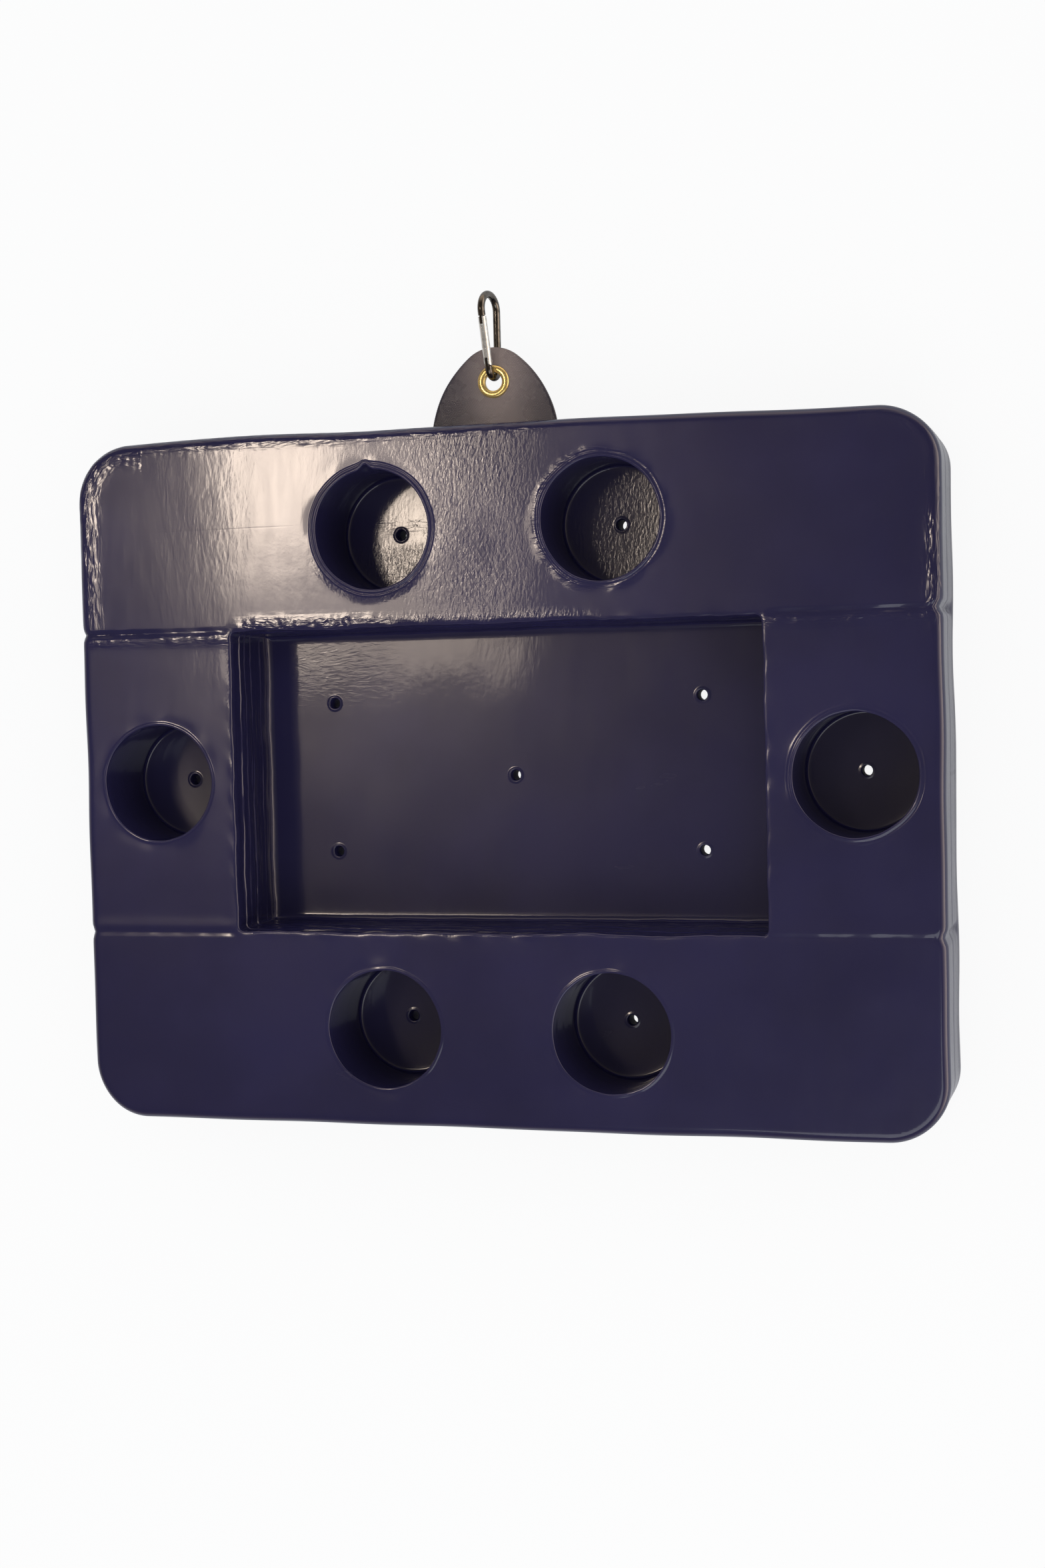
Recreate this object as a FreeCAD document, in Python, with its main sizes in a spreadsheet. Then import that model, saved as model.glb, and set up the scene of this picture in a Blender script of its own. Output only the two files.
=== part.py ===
import FreeCAD, Part
import math
import os
import re
import Sketcher

# Floating drinks tray: laminated closed-cell foam under a continuous vinyl coat, with six cup
# pockets, a centre well, drains, and a cloth tab whose grommet carries a spring snap clip.
# Frame: origin on the underside at the tray's centre, +X along the length, +Y towards the tab,
# +Z up, pockets open upwards. All sizes are millimetres.

Vector = FreeCAD.Vector

# name, value, meaning
DIMENSIONS = (
    ("tray_length", 624.4, "coated length along X"),
    ("tray_width", 492.4, "coated width along Y"),
    ("corner_radius", 41.0, "coated outline corner"),
    ("coat", 1.2, "vinyl coat thickness"),
    ("base_thick", 12.7, "bottom foam sheet"),
    ("layer_thick", 31.75, "each of the two frame foam layers"),
    ("edge_roll", 6.2, "radius that the bevels of the outer top edge follow"),
    ("well_length", 386.0, "coated well along X"),
    ("well_width", 215.6, "coated well along Y"),
    ("well_corner", 4.0, "coated well upright corner"),
    ("rim_bevel", 0.9, "eased rim of the well"),
    ("floor_cove", 1.6, "cove of coat between the well's wall and floor"),
    ("cup_radius", 42.0, "coated cup pocket"),
    ("bead_height", 1.3, "raised bead round a cup pocket"),
    ("bead_width", 2.6, "raised bead round a cup pocket"),
    ("rail_cup_x", 82.9, "rail cup from centre line"),
    ("rail_cup_y", 176.7, "rail cup from centre line"),
    ("side_cup_x", 253.3, "side bar cup from centre line"),
    ("drain_radius", 3.75, "clear drain hole"),
    ("well_drain_x", 138.5, "well drain from centre line"),
    ("well_drain_y", 54.9, "well drain from centre line"),
    ("seam_dip", 2.0, "depth of the seam groove in the coat"),
    ("band_depth", 0.5, "layer line groove in the coat"),
    ("band_height", 1.4, "layer line groove in the coat"),
    ("tab_thick", 1.2, "coated cloth of the tab"),
    ("tab_half", 46.0, "tab half width at the tray's side"),
    ("tab_reach", 56.5, "tab tip from the tray's side"),
    ("tab_tip_radius", 28.0, "round of the tab's tip"),
    ("tab_flare", 9.0, "slant of the tab's edge at the tray, degrees"),
    ("tongue_depth", 40.0, "tab laminated between the foam layers"),
    ("fold_gap", 1.0, "fold line from the tray's side"),
    ("grommet_reach", 32.4, "grommet centre from the tray's side"),
    ("grommet_hole", 6.35, "clear radius of the grommet"),
    ("grommet_outer", 11.5, "flange radius of the grommet"),
    ("grommet_wall", 0.6, "sheet brass of the grommet"),
    ("grommet_crown", 1.6, "height of the domed flange"),
    ("rod_play", 0.7, "gap between the clip rod and the grommet it hangs in"),
    ("rod_radius", 2.6, "clip rod"),
    ("clip_length", 62.5, "clip from end to end"),
    ("small_bend", 6.5, "centre line of the clip's small end"),
    ("large_bend", 11.0, "centre line of the clip's large end"),
    ("clip_turn", 12.0, "clip turned about its length, degrees"),
    ("pivot_reach", 5.5, "gate pivot from the small bend along the gate"),
    ("latch_reach", 33.8, "latch pin from the small bend along the gate"),
    ("gate_radius", 2.9, "gate tube"),
    ("tang_thick", 2.0, "flat of the rod inside the gate"),
    ("slot_width", 2.3, "slot of the gate for that flat"),
    ("pivot_radius", 1.0, "gate rivet"),
    ("latch_radius", 0.9, "latch pin"),
)

doc = FreeCAD.newDocument("FloatingTray")
sheet = doc.addObject("Spreadsheet::Sheet", "Dimensions")
for row, (alias, amount, meaning) in enumerate(DIMENSIONS, start=1):
    sheet.set(f"A{row}", alias)
    sheet.set(f"B{row}", str(amount))
    sheet.set(f"C{row}", meaning)
    sheet.setAlias(f"B{row}", alias)
doc.recompute()

ALIASES = re.compile(r"\b(" + "|".join(name for name, _, _ in DIMENSIONS) + r")\b")

# Heights that several pieces share, as formulas on the sheet's values.
BASE_TOP = "(coat + base_thick)"
MID_LAYER = "(coat + base_thick + layer_thick)"
FOAM_TOP = "(coat + base_thick + 2 * layer_thick)"
TOP = "(2 * coat + base_thick + 2 * layer_thick)"
FLOOR = "(2 * coat + base_thick)"
POCKET = "(2 * layer_thick)"
FOAM_X = "(tray_length / 2 - coat)"
FOAM_Y = "(tray_width / 2 - coat)"
SEAM_X = "(well_length / 2 + coat)"
SEAM_Y = "(well_width / 2 + coat)"
SIDE = "(tray_width / 2)"
# Bevel of the foam that keeps the coat's full thickness in the middle of the outer edge.
FOAM_EASE = "((edge_roll - coat) * (2 - sqrt(2)))"
# The outer top edge is bevelled at 45 degrees and again at each corner of that bevel, so that all
# three bevels touch the round they stand for.
EDGE_BEVEL = "(edge_roll * (2 - sqrt(2)))"
EDGE_STEP = "(edge_roll * (tan(22.5deg) - tan(11.25deg)))"

# Numbers of flats that stand for round forms: the clip's bent rod, and the openings of the foam,
# which the coat hides.
ROD_SIDES = 8
CUP_SIDES = 24
DRAIN_SIDES = 8

nodes = {}


def number(formula):
    """Value of a formula on the sheet's named sizes."""
    return float(sheet.evalExpression(formula))


def bind(item, prop, formula):
    """Drive a property of an object by a formula on the sheet's named sizes."""
    item.setExpression(prop, ALIASES.sub(r"Dimensions.\1", formula))


def keep(name, item):
    """Name an object as a piece that is written out."""
    item.Label = name
    nodes[name] = item
    return item


def datum_plane(body, role):
    """Origin plane of a body."""
    return [item for item in body.Origin.OriginFeatures if item.Role == role][0]


def flat_sketch(body, name, height):
    """Empty sketch on a level plane of the body at a given height."""
    sketch = body.newObject("Sketcher::SketchObject", name)
    sketch.AttachmentSupport = [(datum_plane(body, "XY_Plane"), "")]
    sketch.MapMode = "FlatFace"
    bind(sketch, ".AttachmentOffset.Base.z", height)
    return sketch


def set_distance(sketch, kind, curve, point, label, formula):
    """Signed distance from the origin to a point of a sketch."""
    constraint = Sketcher.Constraint(kind, -1, 1, curve, point, number(formula))
    index = sketch.addConstraint(constraint)
    sketch.renameConstraint(index, label)
    bind(sketch, f"Constraints.{label}", formula)


def rectangle(sketch, left, right, front, back):
    """Closed rectangle with its four sides held by formulas."""
    corners = (
        Vector(number(left), number(front), 0),
        Vector(number(right), number(front), 0),
        Vector(number(right), number(back), 0),
        Vector(number(left), number(back), 0),
    )
    for index in range(4):
        sketch.addGeometry(Part.LineSegment(corners[index], corners[(index + 1) % 4]), False)
    for index in range(4):
        sketch.addConstraint(Sketcher.Constraint("Coincident", index, 2, (index + 1) % 4, 1))
    for index, way in enumerate(("Horizontal", "Vertical", "Horizontal", "Vertical")):
        sketch.addConstraint(Sketcher.Constraint(way, index))
    set_distance(sketch, "DistanceX", 0, 1, "left", left)
    set_distance(sketch, "DistanceX", 0, 2, "right", right)
    set_distance(sketch, "DistanceY", 0, 1, "front", front)
    set_distance(sketch, "DistanceY", 2, 1, "back", back)


def circles(sketch, centres, radius):
    """Circles of one radius at centres given as pairs of formulas."""
    for index, (across, along) in enumerate(centres):
        centre = Vector(number(across), number(along), 0)
        ring = Part.Circle(centre, Vector(0, 0, 1), number(radius))
        curve = sketch.addGeometry(ring, False)
        set_distance(sketch, "DistanceX", curve, 3, f"across{index}", across)
        set_distance(sketch, "DistanceY", curve, 3, f"along{index}", along)
        label = f"radius{index}"
        sketch.renameConstraint(
            sketch.addConstraint(Sketcher.Constraint("Radius", curve, ring.Radius)), label)
        bind(sketch, f"Constraints.{label}", radius)


def pad(body, name, sketch, thickness):
    """Pad a sketch upwards."""
    feature = body.newObject("PartDesign::Pad", name)
    feature.Profile = sketch
    bind(feature, "Length", thickness)
    sketch.Visibility = False
    doc.recompute()
    return feature


def pocket_down(body, name, sketch, depth=None):
    """Pocket a sketch downwards, by a depth or right through, and see that it cuts."""
    before = body.Shape.Volume
    feature = body.newObject("PartDesign::Pocket", name)
    feature.Profile = sketch
    if depth is None:
        feature.Type = 1
    else:
        bind(feature, "Length", depth)
    sketch.Visibility = False
    doc.recompute()
    if not feature.Shape.Volume < before:
        raise RuntimeError(f"{name} cuts nothing")
    return feature


def edges_where(shape, test):
    """Names of the edges whose two ends and middle all pass a test."""
    found = []
    for index, edge in enumerate(shape.Edges, start=1):
        first, last = edge.ParameterRange
        spots = [edge.valueAt(first + (last - first) * part) for part in (0.0, 0.5, 1.0)]
        if all(test(spot) for spot in spots):
            found.append(f"Edge{index}")
    return found


def dress(body, kind, name, prop, formula, test):
    """Fillet or chamfer the edges of the body's tip that pass a test."""
    base = body.Tip
    names = edges_where(base.Shape, test)
    if not names:
        raise RuntimeError(f"{name} finds no edge")
    feature = body.newObject(kind, name)
    feature.Base = (base, names)
    bind(feature, prop, formula)
    doc.recompute()
    return feature


def near(value, target, slack=0.05):
    """True where two lengths agree."""
    return abs(value - target) < slack


def group(name, kind, members):
    """Fuse of several shapes."""
    fuse = doc.addObject(kind, name)
    fuse.Shapes = members
    return fuse


def cut(name, base, tool):
    """Boolean difference of two shapes."""
    result = doc.addObject("Part::Cut", name)
    result.Base = base
    result.Tool = tool
    return result


def block(name, size, corner):
    """Box with its size and low corner given as formulas."""
    box = doc.addObject("Part::Box", name)
    for prop, formula in zip(("Length", "Width", "Height"), size):
        bind(box, prop, formula)
    for axis, formula in zip("xyz", corner):
        bind(box, f".Placement.Base.{axis}", formula)
    return box


def prisms(name, sides, radius, centres, bottom, height):
    """Many-sided bars that open the foam. The coat lies in the openings, so none of them shows."""
    bars = []
    for index, (across, along) in enumerate(centres):
        bar = doc.addObject("Part::Prism", f"{name}_{index}")
        bar.Polygon = sides
        # The flats of the bar lie at the asked radius.
        bind(bar, "Circumradius", f"{radius} / cos(180deg / {sides})")
        bind(bar, "Height", height)
        bind(bar, ".Placement.Base.x", across)
        bind(bar, ".Placement.Base.y", along)
        bind(bar, ".Placement.Base.z", bottom)
        bars.append(bar)
    return bars


def drain_centres():
    """Centres of all drains: five in the well and one in each cup."""
    well = [("0", "0")]
    for across in ("-well_drain_x", "well_drain_x"):
        for along in ("-well_drain_y", "well_drain_y"):
            well.append((across, along))
    return well + cup_centres()


def cup_centres():
    """Centres of the six cup pockets."""
    cups = [("-side_cup_x", "0"), ("side_cup_x", "0")]
    for along in ("-rail_cup_y", "rail_cup_y"):
        for across in ("-rail_cup_x", "rail_cup_x"):
            cups.append((across, along))
    return cups


def seam_prisms(name, depth):
    """Square bars on edge whose lower halves groove the top and the ends along the four seams."""
    bars = []
    side = f"({depth} * sqrt(2))"
    run = f"(tray_length / 2 - {SEAM_X} + 20)"
    for across, start in (("left", f"-({SEAM_X} + {run})"), ("right", SEAM_X)):
        for along, line in (("front", f"-{SEAM_Y}"), ("back", SEAM_Y)):
            top = doc.addObject("Part::Box", f"{name}_top_{across}_{along}")
            bind(top, "Length", run)
            bind(top, "Width", side)
            bind(top, "Height", side)
            top.Placement.Rotation = FreeCAD.Rotation(Vector(1, 0, 0), 45)
            bind(top, ".Placement.Base.x", start)
            bind(top, ".Placement.Base.y", line)
            bars.append(top)
    return bars


def seam_tool(name, depth, level, face):
    """All eight seam grooves at a given depth below the top and in from the end faces."""
    bars = seam_prisms(name, depth)
    for bar in bars:
        bind(bar, ".Placement.Base.z", f"{level} - {depth}")
    side = f"({depth} * sqrt(2))"
    for across, sign in (("left", "-1"), ("right", "1")):
        for along, line in (("front", f"-{SEAM_Y}"), ("back", SEAM_Y)):
            end = doc.addObject("Part::Box", f"{name}_end_{across}_{along}")
            bind(end, "Length", side)
            bind(end, "Width", side)
            bind(end, "Height", f"{POCKET} + 20")
            turn = 45 if sign == "-1" else -135
            # The box's own corner is the groove's root, and the box opens outwards from it.
            end.Placement.Rotation = FreeCAD.Rotation(Vector(0, 0, 1), 180 - turn)
            bind(end, ".Placement.Base.x", f"{sign} * ({face} - {depth})")
            bind(end, ".Placement.Base.y", line)
            bind(end, ".Placement.Base.z", BASE_TOP)
            bars.append(end)
    return group(name, "Part::MultiFuse", bars)


def foam_slab(name, bottom, thickness, box, upper):
    """One foam piece of the tray: a slab with rounded outer corners."""
    body = doc.addObject("PartDesign::Body", name + "_slab")
    sketch = flat_sketch(body, name + "_outline", bottom)
    rectangle(sketch, *box)
    pad(body, name + "_pad", sketch, thickness)
    reach_x = number(FOAM_X)
    reach_y = number(FOAM_Y)

    def upright_corner(spot):
        return near(abs(spot.x), reach_x) and near(abs(spot.y), reach_y)

    if edges_where(body.Tip.Shape, upright_corner):
        dress(body, "PartDesign::Fillet", name + "_corners", "Radius",
              "corner_radius - coat", upright_corner)
    if upper:
        level = number(FOAM_TOP)

        def outer_top(spot):
            outer = near(abs(spot.x), reach_x) or near(abs(spot.y), reach_y)
            return near(spot.z, level) and outer

        dress(body, "PartDesign::Chamfer", name + "_ease", "Size", FOAM_EASE, outer_top)
    return body


def base_sheet(drains):
    """Bottom foam sheet with its drain holes and eased lower edge."""
    body = foam_slab("base_sheet", "coat", "base_thick",
                     (f"-{FOAM_X}", FOAM_X, f"-{FOAM_Y}", FOAM_Y), False)
    level = number("coat")
    reach_y = number(FOAM_Y)

    def lower_edge(spot):
        return near(spot.z, level) and near(abs(spot.y), reach_y)

    dress(body, "PartDesign::Chamfer", "base_ease", "Size", FOAM_EASE, lower_edge)
    return keep("base_sheet", cut("base_sheet", body, drains))


def frame_layer(level_name, bottom, tool):
    """Two full-width rails and two short side bars of one foam layer, cut by the shared tool."""
    upper = level_name == "upper"
    pieces = []
    for side, sign in (("back", ""), ("front", "-")):
        box = (f"-{FOAM_X}", FOAM_X, SEAM_Y, FOAM_Y)
        if sign:
            box = (f"-{FOAM_X}", FOAM_X, f"-{FOAM_Y}", f"-{SEAM_Y}")
        name = f"{level_name}_{side}_rail"
        slab = foam_slab(name, bottom, "layer_thick", box, upper)
        pieces.append(keep(name, cut(name, slab, tool)))
    for side, sign in (("left", "-"), ("right", "")):
        box = (SEAM_X, FOAM_X, f"-{SEAM_Y}", SEAM_Y)
        if sign:
            box = (f"-{FOAM_X}", f"-{SEAM_X}", f"-{SEAM_Y}", SEAM_Y)
        name = f"{level_name}_{side}_bar"
        slab = foam_slab(name, bottom, "layer_thick", box, upper)
        pieces.append(keep(name, cut(name, slab, tool)))
    return pieces


def coated_form():
    """The tray's whole outer form: everything inside the surface of the coat."""
    body = doc.addObject("PartDesign::Body", "coated_form")
    outline = flat_sketch(body, "coat_outline", "0")
    half_x = "(tray_length / 2)"
    rectangle(outline, f"-{half_x}", half_x, f"-{SIDE}", SIDE)
    pad(body, "coat_pad", outline, TOP)
    reach_x = number(half_x)
    reach_y = number(SIDE)
    top = number(TOP)
    floor = number(FLOOR)
    dress(body, "PartDesign::Fillet", "coat_corners", "Radius", "corner_radius",
          lambda spot: near(abs(spot.x), reach_x) and near(abs(spot.y), reach_y))
    dress(body, "PartDesign::Chamfer", "coat_roll", "Size", EDGE_BEVEL,
          lambda spot: near(abs(spot.y), reach_y) and near(spot.z, top))
    bevel = number(EDGE_BEVEL)

    def bevel_edge(spot):
        outer = near(spot.z, top - bevel) and near(abs(spot.y), reach_y)
        return outer or (near(spot.z, top) and near(abs(spot.y), reach_y - bevel))

    dress(body, "PartDesign::Chamfer", "coat_roll_steps", "Size", EDGE_STEP, bevel_edge)
    dress(body, "PartDesign::Chamfer", "coat_foot", "Size", FOAM_EASE,
          lambda spot: near(abs(spot.y), reach_y) and near(spot.z, 0))
    well = flat_sketch(body, "well_outline", TOP)
    rectangle(well, "-well_length / 2", "well_length / 2", "-well_width / 2", "well_width / 2")
    pocket_down(body, "well_pocket", well, POCKET)
    well_x = number("well_length / 2")
    well_y = number("well_width / 2")
    dress(body, "PartDesign::Fillet", "well_corners", "Radius", "well_corner",
          lambda spot: near(abs(spot.x), well_x) and near(abs(spot.y), well_y))
    dress(body, "PartDesign::Chamfer", "well_rim", "Size", "rim_bevel",
          lambda spot: near(abs(spot.y), well_y) and near(spot.z, top))
    dress(body, "PartDesign::Chamfer", "well_cove", "Size", "floor_cove",
          lambda spot: near(abs(spot.y), well_y) and near(spot.z, floor))
    cups = flat_sketch(body, "cup_rings", TOP)
    circles(cups, cup_centres(), "cup_radius")
    pocket_down(body, "cup_pockets", cups, POCKET)
    drains = flat_sketch(body, "drain_rings", FLOOR)
    circles(drains, drain_centres(), "drain_radius")
    pocket_down(body, "drain_holes", drains)
    return body


def cup_beads():
    """Raised bead round each cup pocket, turned from one section."""
    inner = number("cup_radius")
    outer = inner + number("bead_width")
    height = number("bead_height")
    section = (
        Vector(inner, 0, -height),
        Vector(inner, 0, 0),
        Vector((inner + outer) / 2, 0, height),
        Vector(outer, 0, 0),
        Vector(outer, 0, -height),
    )
    beads = []
    for index, (across, along) in enumerate(cup_centres()):
        outline = doc.addObject("Part::Feature", f"bead_section_{index}")
        outline.Shape = Part.Face(Part.makePolygon(list(section) + [section[0]]))
        ring = doc.addObject("Part::Revolution", f"bead_{index}")
        ring.Source = outline
        ring.Axis = Vector(0, 0, 1)
        ring.Base = Vector(0, 0, 0)
        ring.Angle = 360
        ring.Solid = True
        bind(ring, ".Placement.Base.x", across)
        bind(ring, ".Placement.Base.y", along)
        bind(ring, ".Placement.Base.z", TOP)
        beads.append(ring)
    return beads


def layer_line():
    """Frame that presses the line between the two foam layers into the outer sides of the coat."""
    outer = block("line_outer", ("tray_length + 20", "tray_width + 20", "band_height"),
                  ("-tray_length / 2 - 10", "-tray_width / 2 - 10", f"{MID_LAYER} - band_height / 2"))
    body = doc.addObject("PartDesign::Body", "line_inner")
    sketch = flat_sketch(body, "line_sketch", f"{MID_LAYER} - band_height / 2 - 1")
    inner_x = "(tray_length / 2 - band_depth)"
    inner_y = "(tray_width / 2 - band_depth)"
    rectangle(sketch, f"-{inner_x}", inner_x, f"-{inner_y}", inner_y)
    pad(body, "line_pad", sketch, "band_height + 2")
    reach_x = number(inner_x)
    reach_y = number(inner_y)
    dress(body, "PartDesign::Fillet", "line_corners", "Radius", "corner_radius - band_depth",
          lambda spot: near(abs(spot.x), reach_x) and near(abs(spot.y), reach_y))
    return cut("layer_line", outer, body)


def coat_pieces(foam, tongue, drains):
    """The vinyl skin over sides, top, pockets and drains, and the coat of the underside."""
    form = coated_form()
    dips = seam_tool("coat_seams", "seam_dip", TOP, "tray_length / 2")
    grooves = group("coat_grooves", "Part::MultiFuse", [dips, layer_line()])
    grooved = cut("grooved_form", form, grooves)
    beaded = group("beaded_form", "Part::MultiFuse", [grooved] + cup_beads())
    slab = block("under_slab", ("tray_length + 40", "tray_width + 40", "coat + 20"),
                 ("-tray_length / 2 - 20", "-tray_width / 2 - 20", "-20"))
    pierced = cut("pierced_slab", slab, drains)
    under = doc.addObject("Part::Common", "underside_coat")
    under.Base = form
    under.Tool = pierced
    keep("underside_coat", under)
    core = group("skin_core", "Part::MultiFuse", foam + [tongue, pierced])
    keep("vinyl_skin", cut("vinyl_skin", beaded, core))


def tab_sketch(sketch):
    """Rounded arch of the tab from the fold line: straight root, two flared sides, round tip."""
    flare = math.radians(number("tab_flare"))
    half = number("tab_half")
    tip = number("tab_tip_radius")
    reach = number("tab_reach - fold_gap")
    start = number(f"{SIDE} + fold_gap")
    # The side arc touches the tip arc from inside: its radius follows from the root's slant.
    rise = reach - tip
    side_radius = (half ** 2 + rise ** 2 - tip ** 2) / (
        2 * (half * math.cos(flare) - rise * math.sin(flare) - tip))
    centre = Vector(half - side_radius * math.cos(flare), -side_radius * math.sin(flare), 0)
    tip_centre = Vector(0, rise, 0)
    touch = tip_centre + (tip_centre - centre).normalize() * tip
    lean = math.atan2(touch.y - centre.y, touch.x - centre.x)
    halfway = (lean + flare) / 2
    middle = centre + Vector(math.cos(halfway), math.sin(halfway), 0) * side_radius
    points = {
        "root": Vector(half, 0, 0),
        "middle": middle,
        "touch": touch,
        "tip": Vector(0, reach, 0),
    }
    right = [point + Vector(0, start, 0) for point in points.values()]
    left = [Vector(-point.x, point.y, 0) for point in right]
    sketch.addGeometry(Part.LineSegment(left[0], right[0]), False)
    sketch.addGeometry(Part.Arc(right[0], right[1], right[2]), False)
    sketch.addGeometry(Part.Arc(right[2], right[3], left[2]), False)
    sketch.addGeometry(Part.Arc(left[2], left[1], left[0]), False)


def tab_pieces():
    """Tongue laminated in the foam, and the flap that folds at the tray's side."""
    level = f"({MID_LAYER} - tab_thick / 2)"
    tongue = block("tab_anchor", ("2 * tab_half", "tongue_depth", "tab_thick"),
                   ("-tab_half", f"{SIDE} - tongue_depth", level))
    keep("tab_anchor", tongue)
    body = doc.addObject("PartDesign::Body", "flap_body")
    sketch = flat_sketch(body, "flap_outline", level)
    tab_sketch(sketch)
    pad(body, "flap_pad", sketch, "tab_thick")
    hole = flat_sketch(body, "flap_hole", f"{level} + tab_thick")
    circles(hole, [("0", f"{SIDE} + grommet_reach")], "grommet_hole + grommet_wall")
    pocket_down(body, "flap_hole_cut", hole)
    root = doc.addObject("Part::Cylinder", "flap_root")
    bind(root, "Radius", "tab_thick / 2")
    bind(root, "Height", "2 * tab_half")
    root.Placement.Rotation = FreeCAD.Rotation(Vector(0, 1, 0), 90)
    bind(root, ".Placement.Base.x", "-tab_half")
    bind(root, ".Placement.Base.y", f"{SIDE} + fold_gap")
    bind(root, ".Placement.Base.z", MID_LAYER)
    keep("tab_flap", group("tab_flap", "Part::MultiFuse", [body, root]))
    return tongue


def turned(name, outline):
    """Body made by turning a closed outline of (radius, height) points about the grommet."""
    body = doc.addObject("PartDesign::Body", name)
    sketch = body.newObject("Sketcher::SketchObject", name + "_section")
    sketch.AttachmentSupport = [(datum_plane(body, "XZ_Plane"), "")]
    sketch.MapMode = "FlatFace"
    for index, start in enumerate(outline):
        finish = outline[(index + 1) % len(outline)]
        sketch.addGeometry(Part.LineSegment(start, finish), False)
    spin = body.newObject("PartDesign::Revolution", name + "_spin")
    spin.Profile = sketch
    spin.ReferenceAxis = (sketch, ["V_Axis"])
    spin.Angle = 360
    bind(body, ".Placement.Base.y", f"{SIDE} + grommet_reach")
    bind(body, ".Placement.Base.z", MID_LAYER)
    doc.recompute()
    return keep(name, body)


def grommet_pieces():
    """Brass eyelet with its domed flange, and the washer that it is clinched over."""
    bore = number("grommet_hole")
    barrel = number("grommet_hole + grommet_wall")
    outer = number("grommet_outer")
    crown = number("grommet_crown")
    wall = number("grommet_wall")
    half = number("tab_thick / 2")
    washer = 2 * wall
    width = outer - bore
    clinch = number("grommet_hole + 2.4")

    def spot(radius, height):
        return Vector(radius, height, 0)

    eyelet = [
        spot(bore, -half - washer),
        spot(bore, half + wall),
        spot(bore + 0.4 * width, half + crown),
        spot(outer, half),
        spot(barrel, half),
        spot(barrel, -half - washer),
        spot(clinch, -half - washer),
        spot((bore + clinch) / 2, -half - washer - wall),
    ]
    turned("grommet_eyelet", eyelet)
    ring = [
        spot(barrel, -half),
        spot(outer, -half),
        spot(outer - wall, -half - washer),
        spot(barrel, -half - washer),
    ]
    turned("grommet_washer", ring)


def clip_frame():
    """Placement of the clip: its own X from spine to gate, Y along it, its small bend in the grommet."""
    turn = FreeCAD.Rotation(Vector(0, 1, 0), -90 - number("clip_turn"))
    crossing = Vector(number("small_bend"), number("rod_radius"), 0)
    # The rod bears near the outer edge of the grommet's hole, as when the tray hangs from it.
    seat = Vector(0, number(f"{SIDE} + grommet_reach + grommet_hole - rod_radius - rod_play"),
                  number(MID_LAYER))
    return FreeCAD.Placement(seat - turn.multVec(crossing), turn)


class ClipLine:
    """Centre line of the clip and the slanted line that its gate closes."""

    def __init__(self):
        self.rod = number("rod_radius")
        self.small = number("small_bend")
        self.large = number("large_bend")
        self.low = Vector(self.small, self.small + self.rod, 0)
        self.high = Vector(self.large, number("clip_length") - self.large - self.rod, 0)
        between = self.high - self.low
        slant = math.atan2(between.x, between.y)
        slant += math.asin((self.large - self.small) / between.Length)
        self.slant = slant
        self.along = Vector(math.sin(slant), math.cos(slant), 0)
        self.outward = Vector(math.cos(slant), -math.sin(slant), 0)
        self.foot = self.low + self.outward * self.small
        self.head = self.high + self.outward * self.large

    def at(self, reach, offset=0.0):
        """Point on the gate's line, measured from the small bend."""
        return self.foot + self.along * reach + self.outward * offset

    def gate_placement(self, reach):
        """Placement whose Y runs along the gate's line, from a point on it."""
        return FreeCAD.Placement(self.at(reach), FreeCAD.Rotation(Vector(0, 0, 1), -math.degrees(self.slant)))


def across_pin(name, line, reach, radius, length):
    """Round bar across the clip's plane at a point of the gate's line."""
    bar = doc.addObject("Part::Cylinder", name)
    bind(bar, "Radius", radius)
    bind(bar, "Height", length)
    spot = line.at(reach)
    bar.Placement = FreeCAD.Placement(Vector(spot.x, spot.y, -number(length) / 2), FreeCAD.Rotation())
    return bar


def gate_block(name, line, low, high, left, right, thick):
    """Flat block on the gate's line: from low to high along it, left to right across it."""
    box = doc.addObject("Part::Box", name)
    box.Length = right - left
    box.Width = high - low
    box.Height = thick
    place = line.gate_placement(low)
    place.Base = line.at(low, left)
    place.Base.z = -thick / 2
    box.Placement = place
    return box


def gate_rod(name, line, low, high, radius):
    """Round bar along the gate's line."""
    rod = doc.addObject("Part::Cylinder", name)
    rod.Radius = radius
    rod.Height = high - low
    turn = line.gate_placement(0).Rotation.multiply(FreeCAD.Rotation(Vector(1, 0, 0), -90))
    rod.Placement = FreeCAD.Placement(line.at(low), turn)
    return rod


def place_in_clip(name, item):
    """Carry a piece from the clip's own frame to its place in the grommet."""
    holder = doc.addObject("Part::Compound", name)
    holder.Links = [item]
    holder.Placement = clip_frame()
    return keep(name, holder)


def rod_run(name, start, finish):
    """Straight run of the clip's rod between two points of its centre line."""
    run = doc.addObject("Part::Prism", name)
    run.Polygon = ROD_SIDES
    bind(run, "Circumradius", "rod_radius")
    run.Height = (finish - start).Length
    along = (finish - start).normalize()
    across = along.cross(Vector(0, 0, 1))
    turn = FreeCAD.Rotation(across, Vector(0, 0, -1), along, "ZXY")
    run.Placement = FreeCAD.Placement(start, turn)
    return run


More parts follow.
